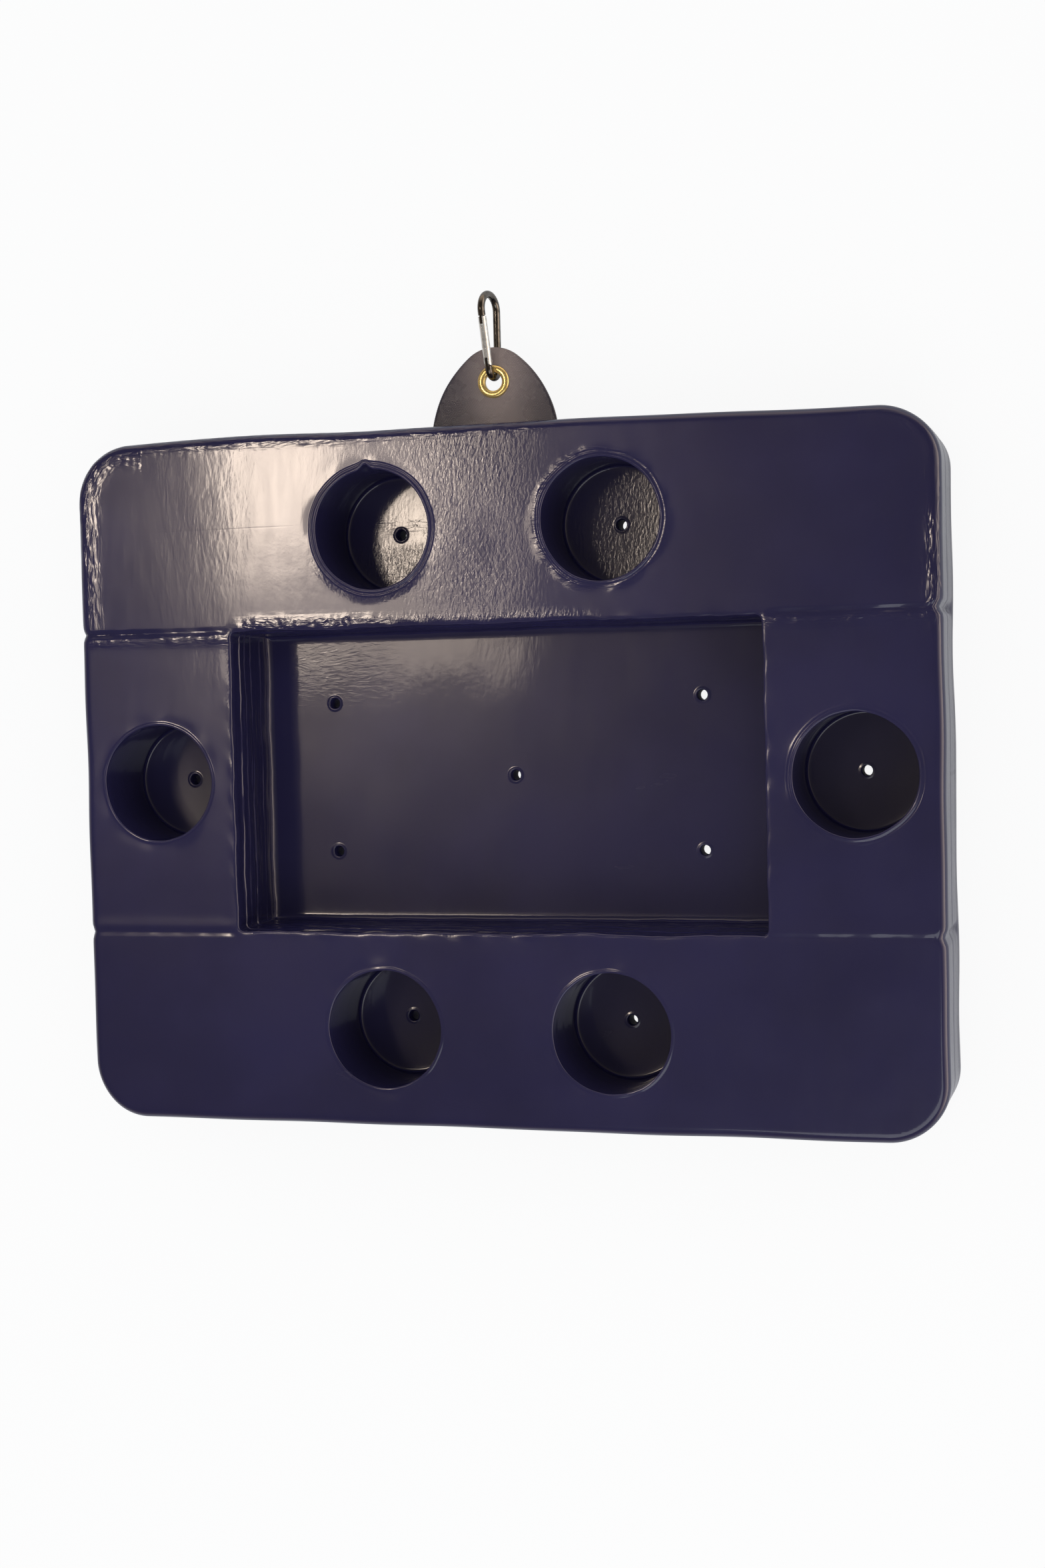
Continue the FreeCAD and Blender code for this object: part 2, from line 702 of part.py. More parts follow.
def rod_bend(name, centre, radius, start, angle):
    """Bend of the rod about a centre, from a start direction in degrees."""
    section = doc.addObject("Part::RegularPolygon", name + "_section")
    section.Polygon = ROD_SIDES
    bind(section, "Circumradius", "rod_radius")
    bind(section, ".Placement.Base.x", radius)
    section.Placement.Rotation = FreeCAD.Rotation(Vector(1, 0, 0), 90)
    bend = doc.addObject("Part::Revolution", name)
    bend.Source = section
    bend.Axis = Vector(0, 0, 1)
    bend.Base = Vector(0, 0, 0)
    bend.Angle = angle
    bend.Solid = True
    bend.Placement = FreeCAD.Placement(centre, FreeCAD.Rotation(Vector(0, 0, 1), start))
    return bend


def clip_rod(line, tang_start, nose_start):
    """Bent rod: gate foot, small bend, spine, large bend, nose."""
    slant = math.degrees(line.slant)
    spine_low = Vector(0, line.low.y, 0)
    spine_high = Vector(0, line.high.y, 0)
    return [
        rod_run("rod_foot", line.foot, line.at(tang_start)),
        rod_bend("small_turn", line.low, "small_bend", 180, 180 - slant),
        rod_run("rod_spine", spine_low, spine_high),
        rod_bend("large_turn", line.high, "large_bend", -slant, 180 + slant),
        rod_run("rod_nose", line.at(nose_start), line.head),
    ]


def clip_pieces():
    """Snap clip: rod with tang and nose, slotted gate, rivet and latch pin."""
    line = ClipLine()
    pivot = number("pivot_reach")
    latch = number("latch_reach")
    rod = line.rod
    tang = number("tang_thick")
    slot = number("slot_width")
    gate_outer = number("gate_radius")
    gate_top = latch + 2.8
    nose_start = gate_top + 0.7
    tang_start = pivot - gate_outer - 0.6
    runs = clip_rod(line, tang_start, nose_start)

    # The rod's foot is flattened to a round-ended tang, its nose to a hooked tongue.
    tang_plate = gate_block("tang_plate", line, tang_start - 0.6, pivot, -rod, rod, tang)
    tang_end = across_pin("tang_end", line, pivot, "rod_radius", "tang_thick")
    nose_plate = gate_block("nose_plate", line, latch - 2.2, nose_start + 0.6, -rod + 0.3, rod - 0.4, tang)
    notch_round = across_pin("notch_round", line, latch, "latch_radius + 0.15", "tang_thick + 2")
    gap = number("latch_radius + 0.15")
    notch = gate_block("notch", line, latch - gap, latch + gap, -rod - 1, 0, tang + 2)
    rivet_hole = across_pin("rivet_hole", line, pivot, "pivot_radius", "tang_thick + 2")
    whole = group("clip_whole", "Part::MultiFuse", runs + [tang_plate, tang_end, nose_plate])
    removed = group("clip_removed", "Part::MultiFuse", [notch_round, notch, rivet_hole])
    place_in_clip("clip_body", cut("clip_cut", whole, removed))

    # The gate is slotted at both ends, and its foot is rounded about the rivet.
    shell = gate_rod("gate_shell", line, pivot, gate_top, gate_outer)
    foot_round = across_pin("gate_foot_round", line, pivot, "gate_radius", "2 * gate_radius")
    foot_ball = gate_rod("gate_foot_rod", line, pivot - gate_outer, pivot + 1, gate_outer)
    foot = doc.addObject("Part::Common", "gate_foot")
    foot.Base = foot_round
    foot.Tool = foot_ball
    foot_slot = gate_block("gate_foot_slot", line, pivot - 6, pivot + rod + 0.4, -6, 6, slot)
    head_slot = gate_block("gate_head_slot", line, latch - 2.9, gate_top + 2, -6, 6, slot)
    pivot_hole = across_pin("gate_pivot_hole", line, pivot, "pivot_radius + 0.05", "4 * gate_radius")
    latch_hole = across_pin("gate_latch_hole", line, latch, "latch_radius", "4 * gate_radius")
    gate_whole = group("gate_whole", "Part::MultiFuse", [shell, foot])
    gate_removed = group("gate_removed", "Part::MultiFuse",
                         [foot_slot, head_slot, pivot_hole, latch_hole])
    place_in_clip("clip_gate", cut("gate_cut", gate_whole, gate_removed))
    place_in_clip("gate_rivet", across_pin("rivet", line, pivot, "pivot_radius", "2 * gate_radius + 0.4"))
    place_in_clip("latch_pin", across_pin("latch", line, latch, "latch_radius", "2 * gate_radius - 0.6"))


def check_and_write():
    """Stop on any failed object, then write each piece to its own file."""
    doc.recompute()
    for item in doc.Objects:
        for word in ("Invalid", "Error"):
            if word in item.State:
                raise RuntimeError(f"{item.Name} is {item.State}")
    os.makedirs("parts", exist_ok=True)
    for name, item in nodes.items():
        shape = item.Shape
        if shape.isNull() or not shape.isValid():
            raise RuntimeError(f"{name} has no valid shape")
        box = shape.BoundBox
        print(f"{name}: {len(shape.Solids)} solid, {shape.Volume / 1000:.3f} cm3, "
              f"x {box.XMin:.1f} {box.XMax:.1f} y {box.YMin:.1f} {box.YMax:.1f} "
              f"z {box.ZMin:.1f} {box.ZMax:.1f}")
    for name, item in nodes.items():
        item.Shape.exportStep(os.path.join("parts", name + ".step"))


tongue = tab_pieces()
drain_openings = group("drain_openings", "Part::MultiFuse", prisms(
    "drain_opening", DRAIN_SIDES, "(drain_radius + coat)", drain_centres(), "-30", f"30 + {BASE_TOP}"))
cup_openings = prisms("cup_opening", CUP_SIDES, "(cup_radius + coat)", cup_centres(),
                      f"{BASE_TOP} - 5", f"{POCKET} + 10")
foam_seams = seam_tool("foam_seams", "seam_dip + (sqrt(2) - 1) * coat", FOAM_TOP, FOAM_X)
foam_cutters = group("foam_cutters", "Part::MultiFuse", [foam_seams, tongue] + cup_openings)
foam = [base_sheet(drain_openings)]
foam += frame_layer("lower", BASE_TOP, foam_cutters)
foam += frame_layer("upper", MID_LAYER, foam_cutters)
coat_pieces(foam, tongue, drain_openings)
grommet_pieces()
clip_pieces()
check_and_write()
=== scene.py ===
import logging
import math
from dataclasses import dataclass
from enum import Enum
from typing import Any, Callable, Sequence

import bmesh
import bpy
import numpy as np
from mathutils import Matrix, Vector
from mathutils.geometry import delaunay_2d_cdt


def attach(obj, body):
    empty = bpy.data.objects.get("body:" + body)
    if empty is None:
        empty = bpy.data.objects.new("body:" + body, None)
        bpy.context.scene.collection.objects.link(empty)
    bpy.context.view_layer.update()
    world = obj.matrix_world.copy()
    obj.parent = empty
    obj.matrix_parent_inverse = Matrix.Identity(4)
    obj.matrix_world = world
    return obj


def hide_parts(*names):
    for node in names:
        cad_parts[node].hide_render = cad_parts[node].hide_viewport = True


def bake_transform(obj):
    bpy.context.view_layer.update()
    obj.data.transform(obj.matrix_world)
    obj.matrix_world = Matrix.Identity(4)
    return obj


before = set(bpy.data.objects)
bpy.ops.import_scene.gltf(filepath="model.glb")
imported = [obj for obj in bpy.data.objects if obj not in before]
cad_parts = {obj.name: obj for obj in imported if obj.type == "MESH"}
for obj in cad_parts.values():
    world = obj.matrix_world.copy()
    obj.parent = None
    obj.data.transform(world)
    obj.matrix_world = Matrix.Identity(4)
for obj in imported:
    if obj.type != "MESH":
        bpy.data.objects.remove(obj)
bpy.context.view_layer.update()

log = logging.getLogger("drinks_tray")

MM = 0.001
CUP_COLUMNS = 112
DRAIN_COLUMNS = 24
SHARPEST = 0.4 * MM
WHITE = (1.0, 1.0, 1.0, 1.0)
WELD_DISTANCE = 2e-5
FRONT_SHIFT = 3.0
Pair = tuple[float, float]
Colour = tuple[float, float, float, float]
Triple = tuple[float, float, float]


class Body(str, Enum):
    """Bodies of the part that a piece can ride on."""

    TRAY = "tray"
    TAB = "tab"
    CLIP = "clip"


class Mask(str, Enum):
    """Point attributes of the coat: how strong each trait is, and places about the outer edge."""

    LUMPS = "coat_lumps"
    PUCKERS = "coat_puckers"
    LAYERS = "coat_layers"
    RAIN = "coat_rain"
    OVER = "over_the_edge"
    ALONG = "along_the_edge"


def _operator(name: str, swapped: bool = False) -> Callable[["Signal", Any], "Signal"]:
    """Make a method of Signal that adds a Math node.

    Args:
        name: the node's operation.
        swapped: whether the signal stands on the right.

    Returns:
        The method.
    """
    def method(self: "Signal", other: Any) -> "Signal":
        """Result of the operation."""
        values = (other, self) if swapped else (self, other)
        return self.tree.maths(name, *values)

    return method


class Signal:
    """A number in a node tree. Arithmetic on it adds Math nodes."""

    def __init__(self, tree: "Tree", socket: bpy.types.NodeSocket) -> None:
        """Wrap an output socket of a tree."""
        self.tree = tree
        self.socket = socket

    __add__ = _operator("ADD")
    __radd__ = _operator("ADD", swapped=True)
    __sub__ = _operator("SUBTRACT")
    __rsub__ = _operator("SUBTRACT", swapped=True)
    __mul__ = _operator("MULTIPLY")
    __truediv__ = _operator("DIVIDE")
    __pow__ = _operator("POWER")
    above = _operator("MAXIMUM")

    def size(self) -> "Signal":
        """Absolute value."""
        return self.tree.maths("ABSOLUTE", self)

    def sine(self) -> "Signal":
        """Sine of the value in radians."""
        return self.tree.maths("SINE", self)

    def bell(self, centre: float, width: float) -> "Signal":
        """Bell curve of the value about a centre."""
        away = (self - centre) / width
        return self.tree.maths("EXPONENT", away * away * -1.0)

    def ramp(self, low: float, high: float) -> "Signal":
        """Smooth step from 0 at low to 1 at high."""
        node = self.tree.add("ShaderNodeMapRange", {"interpolation_type": "SMOOTHSTEP"},
                             {0: self, 1: low, 2: high, 3: 0.0, 4: 1.0})
        return Signal(self.tree, node.outputs[0])

    def drop(self, low: float, high: float) -> "Signal":
        """Smooth step from 1 at low to 0 at high."""
        return 1.0 - self.ramp(low, high)


class Tree:
    """Short ways to add nodes to a shader, world or geometry tree."""

    def __init__(self, tree: bpy.types.NodeTree) -> None:
        """Start on an empty tree."""
        self.tree = tree
        tree.nodes.clear()

    def add(self, kind: str, settings: dict[str, Any] | None = None,
            inputs: dict[Any, Any] | None = None) -> bpy.types.Node:
        """Add a node, first its settings and then its sockets.

        Args:
            kind: the node's type.
            settings: the node's own properties.
            inputs: values, signals or sockets, by socket name or number.

        Returns:
            The new node.
        """
        node = self.tree.nodes.new(kind)
        for name, value in (settings or {}).items():
            setattr(node, name, value)
        for key, value in (inputs or {}).items():
            self.feed(node.inputs[key], value)
        return node

    def feed(self, socket: bpy.types.NodeSocket, value: Any) -> None:
        """Link a signal or socket to a socket, or set its value."""
        if isinstance(value, Signal):
            value = value.socket
        if isinstance(value, bpy.types.NodeSocket):
            self.tree.links.new(value, socket)
        else:
            socket.default_value = value

    def maths(self, operation: str, *values: Any) -> Signal:
        """Result of a Math node."""
        node = self.add("ShaderNodeMath", {"operation": operation}, dict(enumerate(values)))
        return Signal(self, node.outputs[0])

    def axes(self, place: Any) -> list[Signal]:
        """X, Y and Z of a vector."""
        node = self.add("ShaderNodeSeparateXYZ", None, {"Vector": place})
        return [Signal(self, socket) for socket in node.outputs]

    def joined(self, *values: Any) -> bpy.types.NodeSocket:
        """Vector of up to three numbers."""
        return self.add("ShaderNodeCombineXYZ", None, dict(enumerate(values))).outputs[0]

    def show(self, shader: Any, kind: str = "ShaderNodeOutputMaterial") -> None:
        """End the tree in its output node."""
        self.feed(self.add(kind).inputs["Surface"], shader)

    def noise(self, place: Any, scale: Any, detail: float = 2.0, twist: float = 0.0) -> Signal:
        """Noise from 0 to 1 at a place."""
        node = self.add("ShaderNodeTexNoise", {"noise_dimensions": "3D"},
                        {"Vector": place, "Scale": scale, "Detail": detail, "Distortion": twist})
        return Signal(self, node.outputs[0])

    def grain(self, place: Any, scale: Triple, detail: float, twist: float = 0.0,
              turn: float = 0.0) -> Signal:
        """Noise that runs longer one way: its place turned about Z, then scaled by axis."""
        if turn:
            place = self.add("ShaderNodeVectorRotate", {"rotation_type": "Z_AXIS"},
                             {"Vector": place, "Angle": turn}).outputs[0]
        node = self.add("ShaderNodeVectorMath", {"operation": "MULTIPLY"}, {0: place, 1: scale})
        return self.noise(node.outputs[0], 1.0, detail, twist)

    def blend(self, factor: Any, first: Any, second: Any) -> bpy.types.NodeSocket:
        """Mix of two colours."""
        node = self.add("ShaderNodeMix", {"data_type": "RGBA"}, {0: factor, 6: first, 7: second})
        return node.outputs[2]

    def attribute(self, mask: Mask) -> Signal:
        """Value of a point attribute in a material."""
        node = self.add("ShaderNodeAttribute", {"attribute_name": mask.value})
        return Signal(self, node.outputs["Fac"])

    def named(self, mask: Mask) -> Signal:
        """Value of a point attribute in a geometry tree."""
        node = self.add("GeometryNodeInputNamedAttribute", {"data_type": "FLOAT"},
                        {"Name": mask.value})
        return Signal(self, node.outputs[0])


@dataclass(frozen=True)
class Finish:
    """A finish: its name and the material's steady values."""

    name: str
    base: Colour
    roughness: float

    def shader(self) -> tuple[bpy.types.Material, Tree, bpy.types.Node, Any]:
        """New material with a Principled shader.

        Returns:
            The material, its tree, the shader node and the Object coordinate socket.
        """
        material = bpy.data.materials.new(self.name)
        material.use_nodes = True
        tree = Tree(material.node_tree)
        surface = tree.add("ShaderNodeBsdfPrincipled", None,
                           {"Base Color": self.base, "Roughness": self.roughness})
        place = tree.add("ShaderNodeTexCoord").outputs["Object"]
        return material, tree, surface, place

    def relief(self, tree: Tree, surface: bpy.types.Node, height: Signal) -> None:
        """Bump the shader by a height in metres."""
        bump = tree.add("ShaderNodeBump", None, {"Height": height, "Distance": 1.0, "Strength": 1.0})
        tree.feed(surface.inputs["Normal"], bump.outputs[0])


@dataclass(frozen=True)
class DippedVinyl(Finish):
    """Glossy navy vinyl: mirror and satin mixed, with peel, rain, puckers, plies and lumps."""

    pale: Colour = (0.019, 0.0165, 0.060, 1.0)
    mirror_roughness: float = 0.06
    index: float = 1.6
    mirror_share: float = 0.50
    peel: float = 0.000012
    rain: float = 0.00013
    pucker: float = 0.00038
    ply: float = 0.00050
    lump: float = 0.00040
    scratch_depth: float = 0.00002
    score_depth: float = 0.000008
    sweep_height: float = 0.0000010

    def build(self) -> bpy.types.Material:
        """Material of the tray's skin."""
        material, tree, satin, place = self.shader()
        mirror = tree.add("ShaderNodeBsdfPrincipled", None, {"Roughness": self.mirror_roughness})
        cloud = tree.noise(place, 9.0, 4.0)
        colour = tree.blend(cloud.ramp(0.35, 0.7), self.base, self.pale)
        smear = tree.grain(place, (14.0, 40.0, 14.0), 4.0)
        tree.feed(satin.inputs["Roughness"], self.roughness + (smear - 0.5) * 0.10)
        height = self.height(tree, place)
        for surface in (satin, mirror):
            tree.feed(surface.inputs["Base Color"], colour)
            surface.inputs["IOR"].default_value = self.index
            self.relief(tree, surface, height)
        brushed = tree.grain(place, (150.0, 26.0, 40.0), 3.0, turn=0.08)
        share = self.mirror_share + brushed.ramp(0.3, 0.7) * 0.12
        mixed = tree.add("ShaderNodeMixShader", None,
                         {0: share, 1: satin.outputs[0], 2: mirror.outputs[0]})
        tree.show(mixed.outputs[0])
        return material

    def height(self, tree: Tree, place: Any) -> Signal:
        """Height of the coat's fine relief in metres."""
        peel = tree.noise(place, 210.0, 3.0)
        streaks = tree.grain(place, (230.0, 60.0, 60.0), 2.0, 0.6, turn=0.06)
        total = (peel + streaks * 1.5) * self.peel
        total = total + self.scratches(tree, place)
        edge_place = tree.joined(tree.attribute(Mask.OVER), tree.attribute(Mask.ALONG))
        for mask, where, scale, detail, twist, turn, height in (
                (Mask.RAIN, place, (540.0, 210.0, 400.0), 2.0, 0.5, 0.12, self.rain),
                (Mask.PUCKERS, edge_place, (330.0, 75.0, 1.0), 1.0, 0.6, 0.0, self.pucker),
                (Mask.LAYERS, place, (16.0, 16.0, 330.0), 2.0, 0.3, 0.0, self.ply),
                (Mask.LUMPS, place, (95.0, 330.0, 250.0), 1.0, 1.2, 0.0, self.lump)):
            total = total + tree.attribute(mask) * tree.grain(where, scale, detail, twist, turn) * height
        return total

    def scratches(self, tree: Tree, place: Any) -> Signal:
        """Fine crossed scratches beside a cup, one long scored line and slanting ripples."""
        across, along, _ = tree.axes(place)
        patch = across.bell(-0.004, 0.022) * along.bell(0.152, 0.032)
        lines = 0.0
        for turn in (0.7, -0.55):
            run = tree.grain(place, (900.0, 14.0, 1.0), 0.0, turn=turn)
            lines = (1.0 - (run - 0.5).size() * 30.0).above(0.0) + lines
        score = along.bell(0.1817, 0.0005) * across.ramp(-0.30, -0.27) * across.drop(-0.17, -0.13)
        drift = tree.noise(place, 30.0, 1.0)
        waves = ((across + along * 0.18 + drift * 0.006) * (2.0 * math.pi / 0.0040)).sine()
        band = across.bell(-0.198, 0.016) * along.ramp(0.12, 0.15)
        cuts = lines * patch * -self.scratch_depth + score * -self.score_depth
        return cuts + waves * band * self.sweep_height


@dataclass(frozen=True)
class CoatedCloth(Finish):
    """Vinyl-coated cloth: a fine slanting weave that shows through a satin coat, with a paler painted sheen
    down its middle.
    """

    # pale: colour of the painted sheen down the tab's middle; it also lightens the weave's threads and the
    # random cloud
    pale: Colour = (0.240, 0.185, 0.170, 1.0)
    pitch: float = 0.0009
    weave_height: float = 0.00003
    dent_height: float = 0.0004

    def build(self) -> bpy.types.Material:
        """Material of the tab."""
        material, tree, surface, place = self.shader()
        across, along, _ = tree.axes(place)
        turn = 2.0 * math.pi / self.pitch
        twill = ((across * 0.55 + along * 0.85) * turn).sine()
        cross = ((across * 0.85 - along * 0.55) * turn).sine()
        weave = twill * 0.5 + cross * 0.3 + 0.5
        cloud = tree.noise(place, 40.0, 4.0)
        # Painted sheen: a paler band down the middle of the tab stands in for its glossy reflection, mixed
        # with a little random cloud
        painted_sheen = across.bell(0.004, 0.026) * 0.75 + cloud * 0.25
        shade = (weave * 0.25 + painted_sheen * 0.75).ramp(0.20, 0.95)
        tree.feed(surface.inputs["Base Color"], tree.blend(shade, self.base, self.pale))
        tree.feed(surface.inputs["Roughness"], self.roughness + (cloud - 0.5) * 0.2)
        surface.inputs["Sheen Weight"].default_value = 0.25
        surface.inputs["Sheen Roughness"].default_value = 0.4
        self.relief(tree, surface, weave * self.weave_height + cloud * self.dent_height)
        tree.show(surface.outputs[0])
        return material


@dataclass(frozen=True)
class Metal(Finish):
    """Plated metal with a fine brushed grain and darker worn patches."""

    worn: Colour = (0.1, 0.1, 0.1, 1.0)
    metallic: float = 1.0
    grain: float = 0.000004

    def build(self) -> bpy.types.Material:
        """Material of a metal piece."""
        material, tree, surface, place = self.shader()
        surface.inputs["Metallic"].default_value = self.metallic
        cloud = tree.noise(place, 260.0, 5.0)
        tree.feed(surface.inputs["Base Color"],
                  tree.blend(cloud.ramp(0.45, 0.75), self.base, self.worn))
        tree.feed(surface.inputs["Roughness"], self.roughness + (cloud - 0.5) * 0.14)
        grain = tree.grain(place, (4000.0, 500.0, 4000.0), 2.0)
        self.relief(tree, surface, grain * self.grain)
        tree.show(surface.outputs[0])
        return material


NAVY_VINYL = DippedVinyl("navy_dipped_vinyl", (0.0145, 0.0125, 0.047, 1.0), 0.25)
TAB_CLOTH = CoatedCloth("coated_cloth", (0.026, 0.022, 0.036, 1.0), 0.27)
POLISHED_BRASS = Metal("polished_brass", (1.0, 0.74, 0.28, 1.0), 0.22, (0.80, 0.54, 0.18, 1.0),
                       metallic=0.8)
DARK_NICKEL = Metal("dark_nickel", (0.16, 0.145, 0.13, 1.0), 0.16, (0.07, 0.065, 0.06, 1.0))
BRIGHT_NICKEL = Metal("bright_nickel", (0.86, 0.83, 0.78, 1.0), 0.24, (0.60, 0.57, 0.52, 1.0),
                      metallic=0.75)


def rise(value: np.ndarray, low: float, high: float) -> np.ndarray:
    """Smooth step from 0 at low to 1 at high."""
    part = np.clip((value - low) / (high - low), 0.0, 1.0)
    return part * part * (3.0 - 2.0 * part)


def fall(value: np.ndarray, low: float, high: float) -> np.ndarray:
    """Smooth step from 1 at low to 0 at high."""
    return 1.0 - rise(value, low, high)


def bell(value: np.ndarray, centre: float, width: float) -> np.ndarray:
    """Bell curve about a centre."""
    return np.exp(-(((value - centre) / width) ** 2))


def arc(start: float, end: float, count: int) -> list[Pair]:
    """Cosine and sine at even steps between two angles in degrees."""
    angles = np.radians(np.linspace(start, end, count))
    return list(zip(np.cos(angles).tolist(), np.sin(angles).tolist()))


def ripple(points: np.ndarray, length: float, seed: int) -> np.ndarray:
    """Smooth wandering value from about -1 to 1.

    Args:
        points: places, one row each.
        length: typical wavelength in metres.
        seed: number that picks the pattern.

    Returns:
        One value for each point.
    """
    picker = np.random.default_rng(seed)
    total = np.zeros(len(points))
    for _ in range(7):
        way = picker.normal(size=points.shape[1])
        way *= picker.uniform(0.6, 1.6) * 2.0 * math.pi / length / np.linalg.norm(way)
        total += np.sin(points @ way + picker.uniform(0.0, 2.0 * math.pi))
    return total / 3.0


@dataclass(frozen=True)
class RoundedBox:
    """Rounded rectangle in plan, centred on the tray."""

    half_x: float
    half_y: float
    radius: float
    spacing: float

    @property
    def straight(self) -> np.ndarray:
        """Half the length of its straight parts along X and Y."""
        return np.array((self.half_x - self.radius, self.half_y - self.radius))

    def loop(self, grow: float) -> np.ndarray:
        """Points round it, moved outwards by a distance, always in the same number."""
        arc = max(4, round(self.radius * math.pi / 2.0 / self.spacing))
        radius = max(self.radius + grow, SHARPEST)
        ends = []
        for right, back, start in ((1, 1, 0), (-1, 1, 90), (-1, -1, 180), (1, -1, 270)):
            centre = np.array((right * (self.half_x + grow - radius), back * (self.half_y + grow - radius)))
            angles = np.radians(start + 90.0 * np.arange(arc + 1) / arc)
            ends.append(centre + radius * np.stack((np.cos(angles), np.sin(angles)), 1))
        points = []
        for index, corner in enumerate(ends):
            points.append(corner)
            steps = max(2, round(2.0 * self.straight[index % 2] / self.spacing))
            share = (np.arange(1, steps) / steps)[:, None]
            points.append(corner[-1] * (1.0 - share) + ends[(index + 1) % 4][0] * share)
        return np.concatenate(points)

    def distance(self, points: np.ndarray, grow: float = 0.0) -> np.ndarray:
        """Signed distance of points in plan from it, negative inside."""
        away = np.abs(points) - self.straight
        outside = np.linalg.norm(np.maximum(away, 0.0), axis=1)
        return outside + np.minimum(away.max(axis=1), 0.0) - (self.radius + grow)

    def along(self, points: np.ndarray) -> np.ndarray:
        """Length along the outline at points in plan, from the middle of the back."""
        past = np.abs(points) - self.straight
        turn = np.arctan2(np.maximum(past[:, 0], 0.0), np.maximum(past[:, 1], 1e-9))
        corner = self.straight[0] + self.radius * turn
        side = self.straight[0] + self.radius * math.pi / 2.0 - past[:, 1]
        length = np.where(past[:, 1] > 0.0, corner, side)
        on_long_side = (past[:, 0] <= 0.0) & (past[:, 1] >= past[:, 0])
        length = np.where(on_long_side, np.abs(points[:, 0]), length)
        return length * -np.sign(points[:, 0]) + np.where(points[:, 1] < 0.0, FRONT_SHIFT, 0.0)


@dataclass(frozen=True)
class Ring:
    """Circle in plan."""

    centre: Pair
    columns: int

    def loop(self, radius: float) -> np.ndarray:
        """Points round it at a radius."""
        angles = 2.0 * math.pi * np.arange(self.columns) / self.columns
        return np.array(self.centre) + radius * np.stack((np.cos(angles), np.sin(angles)), 1)

    def distance(self, points: np.ndarray, radius: float) -> np.ndarray:
        """Signed distance of points in plan from it, negative inside."""
        return np.linalg.norm(points - np.array(self.centre), axis=1) - radius


Edge = tuple[RoundedBox | Ring, float]


class Shell:
    """Collects rings and flats, then welds them into one closed mesh."""

    def __init__(self) -> None:
        """Start empty."""
        self.points: list[np.ndarray] = []
        self.faces: list[tuple[int, ...]] = []
        self.count = 0

    def _hold(self, points: np.ndarray) -> int:
        """Keep some points and give the number of the first."""
        first = self.count
        self.points.append(points)
        self.count += len(points)
        return first

    def strip(self, rings: Sequence[tuple[np.ndarray, float]]) -> None:
        """Band of four-sided faces through rings, each a loop in plan and a height."""
        starts = []
        for loop, level in rings:
            starts.append(self._hold(np.column_stack((loop, np.full(len(loop), level)))))
        size = len(rings[0][0])
        for lower, upper in zip(starts, starts[1:]):
            for index in range(size):
                after = (index + 1) % size
                self.faces.append((lower + index, lower + after, upper + after, upper + index))

    def turned(self, ring: Ring, profile: Sequence[Pair]) -> None:
        """Band round a circle's centre, from a profile of radius and height."""
        self.strip([(ring.loop(radius), level) for radius, level in profile])

    def flat(self, outer: np.ndarray, holes: Sequence[np.ndarray], inside: np.ndarray, level: float,
             keep: Callable[[np.ndarray], np.ndarray]) -> None:
        """Triangles between an outer loop and holes.

        Args:
            outer: outer loop in plan.
            holes: loops of the holes.
            inside: points in between.
            level: height of the flat.
            keep: says which triangle middles belong to the flat.
        """
        loops = [outer, *holes]
        spots = np.concatenate([*loops, inside])
        edges = []
        first = 0
        for loop in loops:
            size = len(loop)
            edges += [(first + index, first + (index + 1) % size) for index in range(size)]
            first += size
        found = delaunay_2d_cdt([Vector(spot) for spot in spots], edges, [], 0, 1e-7)
        corners = np.array([tuple(spot) for spot in found[0]])
        triangles = np.array([face[:3] for face in found[2]])
        middles = corners[triangles].mean(axis=1)
        start = self._hold(np.column_stack((corners, np.full(len(corners), level))))
        self.faces += [tuple(start + face) for face in triangles[keep(middles)]]

    def between(self, outer: Edge, holes: Sequence[Edge], spots: np.ndarray, margin: float,
                level: float) -> None:
        """Flat between an outer edge and holes.

        Args:
            outer: outline and how far it is moved outwards, or circle and radius.
            holes: the same for each hole.
            spots: places for points in between.
            margin: least distance of such a point from the edges.
            level: height of the flat.
        """
        def inside(points: np.ndarray, gap: float) -> np.ndarray:
            """Which points are clear of the edges by a gap."""
            kept = outer[0].distance(points, outer[1]) < -gap
            for shape, reach in holes:
                kept &= shape.distance(points, reach) > gap
            return kept

        self.flat(outer[0].loop(outer[1]), [shape.loop(reach) for shape, reach in holes],
                  spots[inside(spots, margin)], level, lambda points: inside(points, 0.0))

    def mesh(self, name: str) -> bpy.types.Mesh:
        """Welded mesh whose faces point outwards."""
        mesh = bpy.data.meshes.new(name)
        mesh.from_pydata(np.concatenate(self.points).tolist(), [],
                         [tuple(int(i) for i in face) for face in self.faces])
        work = bmesh.new()
        work.from_mesh(mesh)
        bmesh.ops.remove_doubles(work, verts=work.verts, dist=WELD_DISTANCE)
        loose = [vert for vert in work.verts if not vert.link_faces]
        bmesh.ops.delete(work, geom=loose, context="VERTS")
        bmesh.ops.recalc_face_normals(work, faces=work.faces)
        open_edges = sum(1 for edge in work.edges if not edge.is_manifold)
        if open_edges:
            log.warning("%s has %d open edges", name, open_edges)
        work.to_mesh(mesh)
        work.free()
        return mesh


def coordinates(mesh: bpy.types.Mesh) -> np.ndarray:
    """Vertex places of a mesh."""
    flat = np.empty(len(mesh.vertices) * 3)
    mesh.vertices.foreach_get("co", flat)
    return flat.reshape(-1, 3)


def place_vertices(mesh: bpy.types.Mesh, points: np.ndarray) -> None:
    """Move the vertices of a mesh."""
    mesh.vertices.foreach_set("co", points.ravel())
    mesh.update()


def linked(name: str, data: Any) -> bpy.types.Object:
    """New object in the scene for a mesh, lamp or camera."""
    made = bpy.data.objects.new(name, data)
    bpy.context.scene.collection.objects.link(made)
    return made


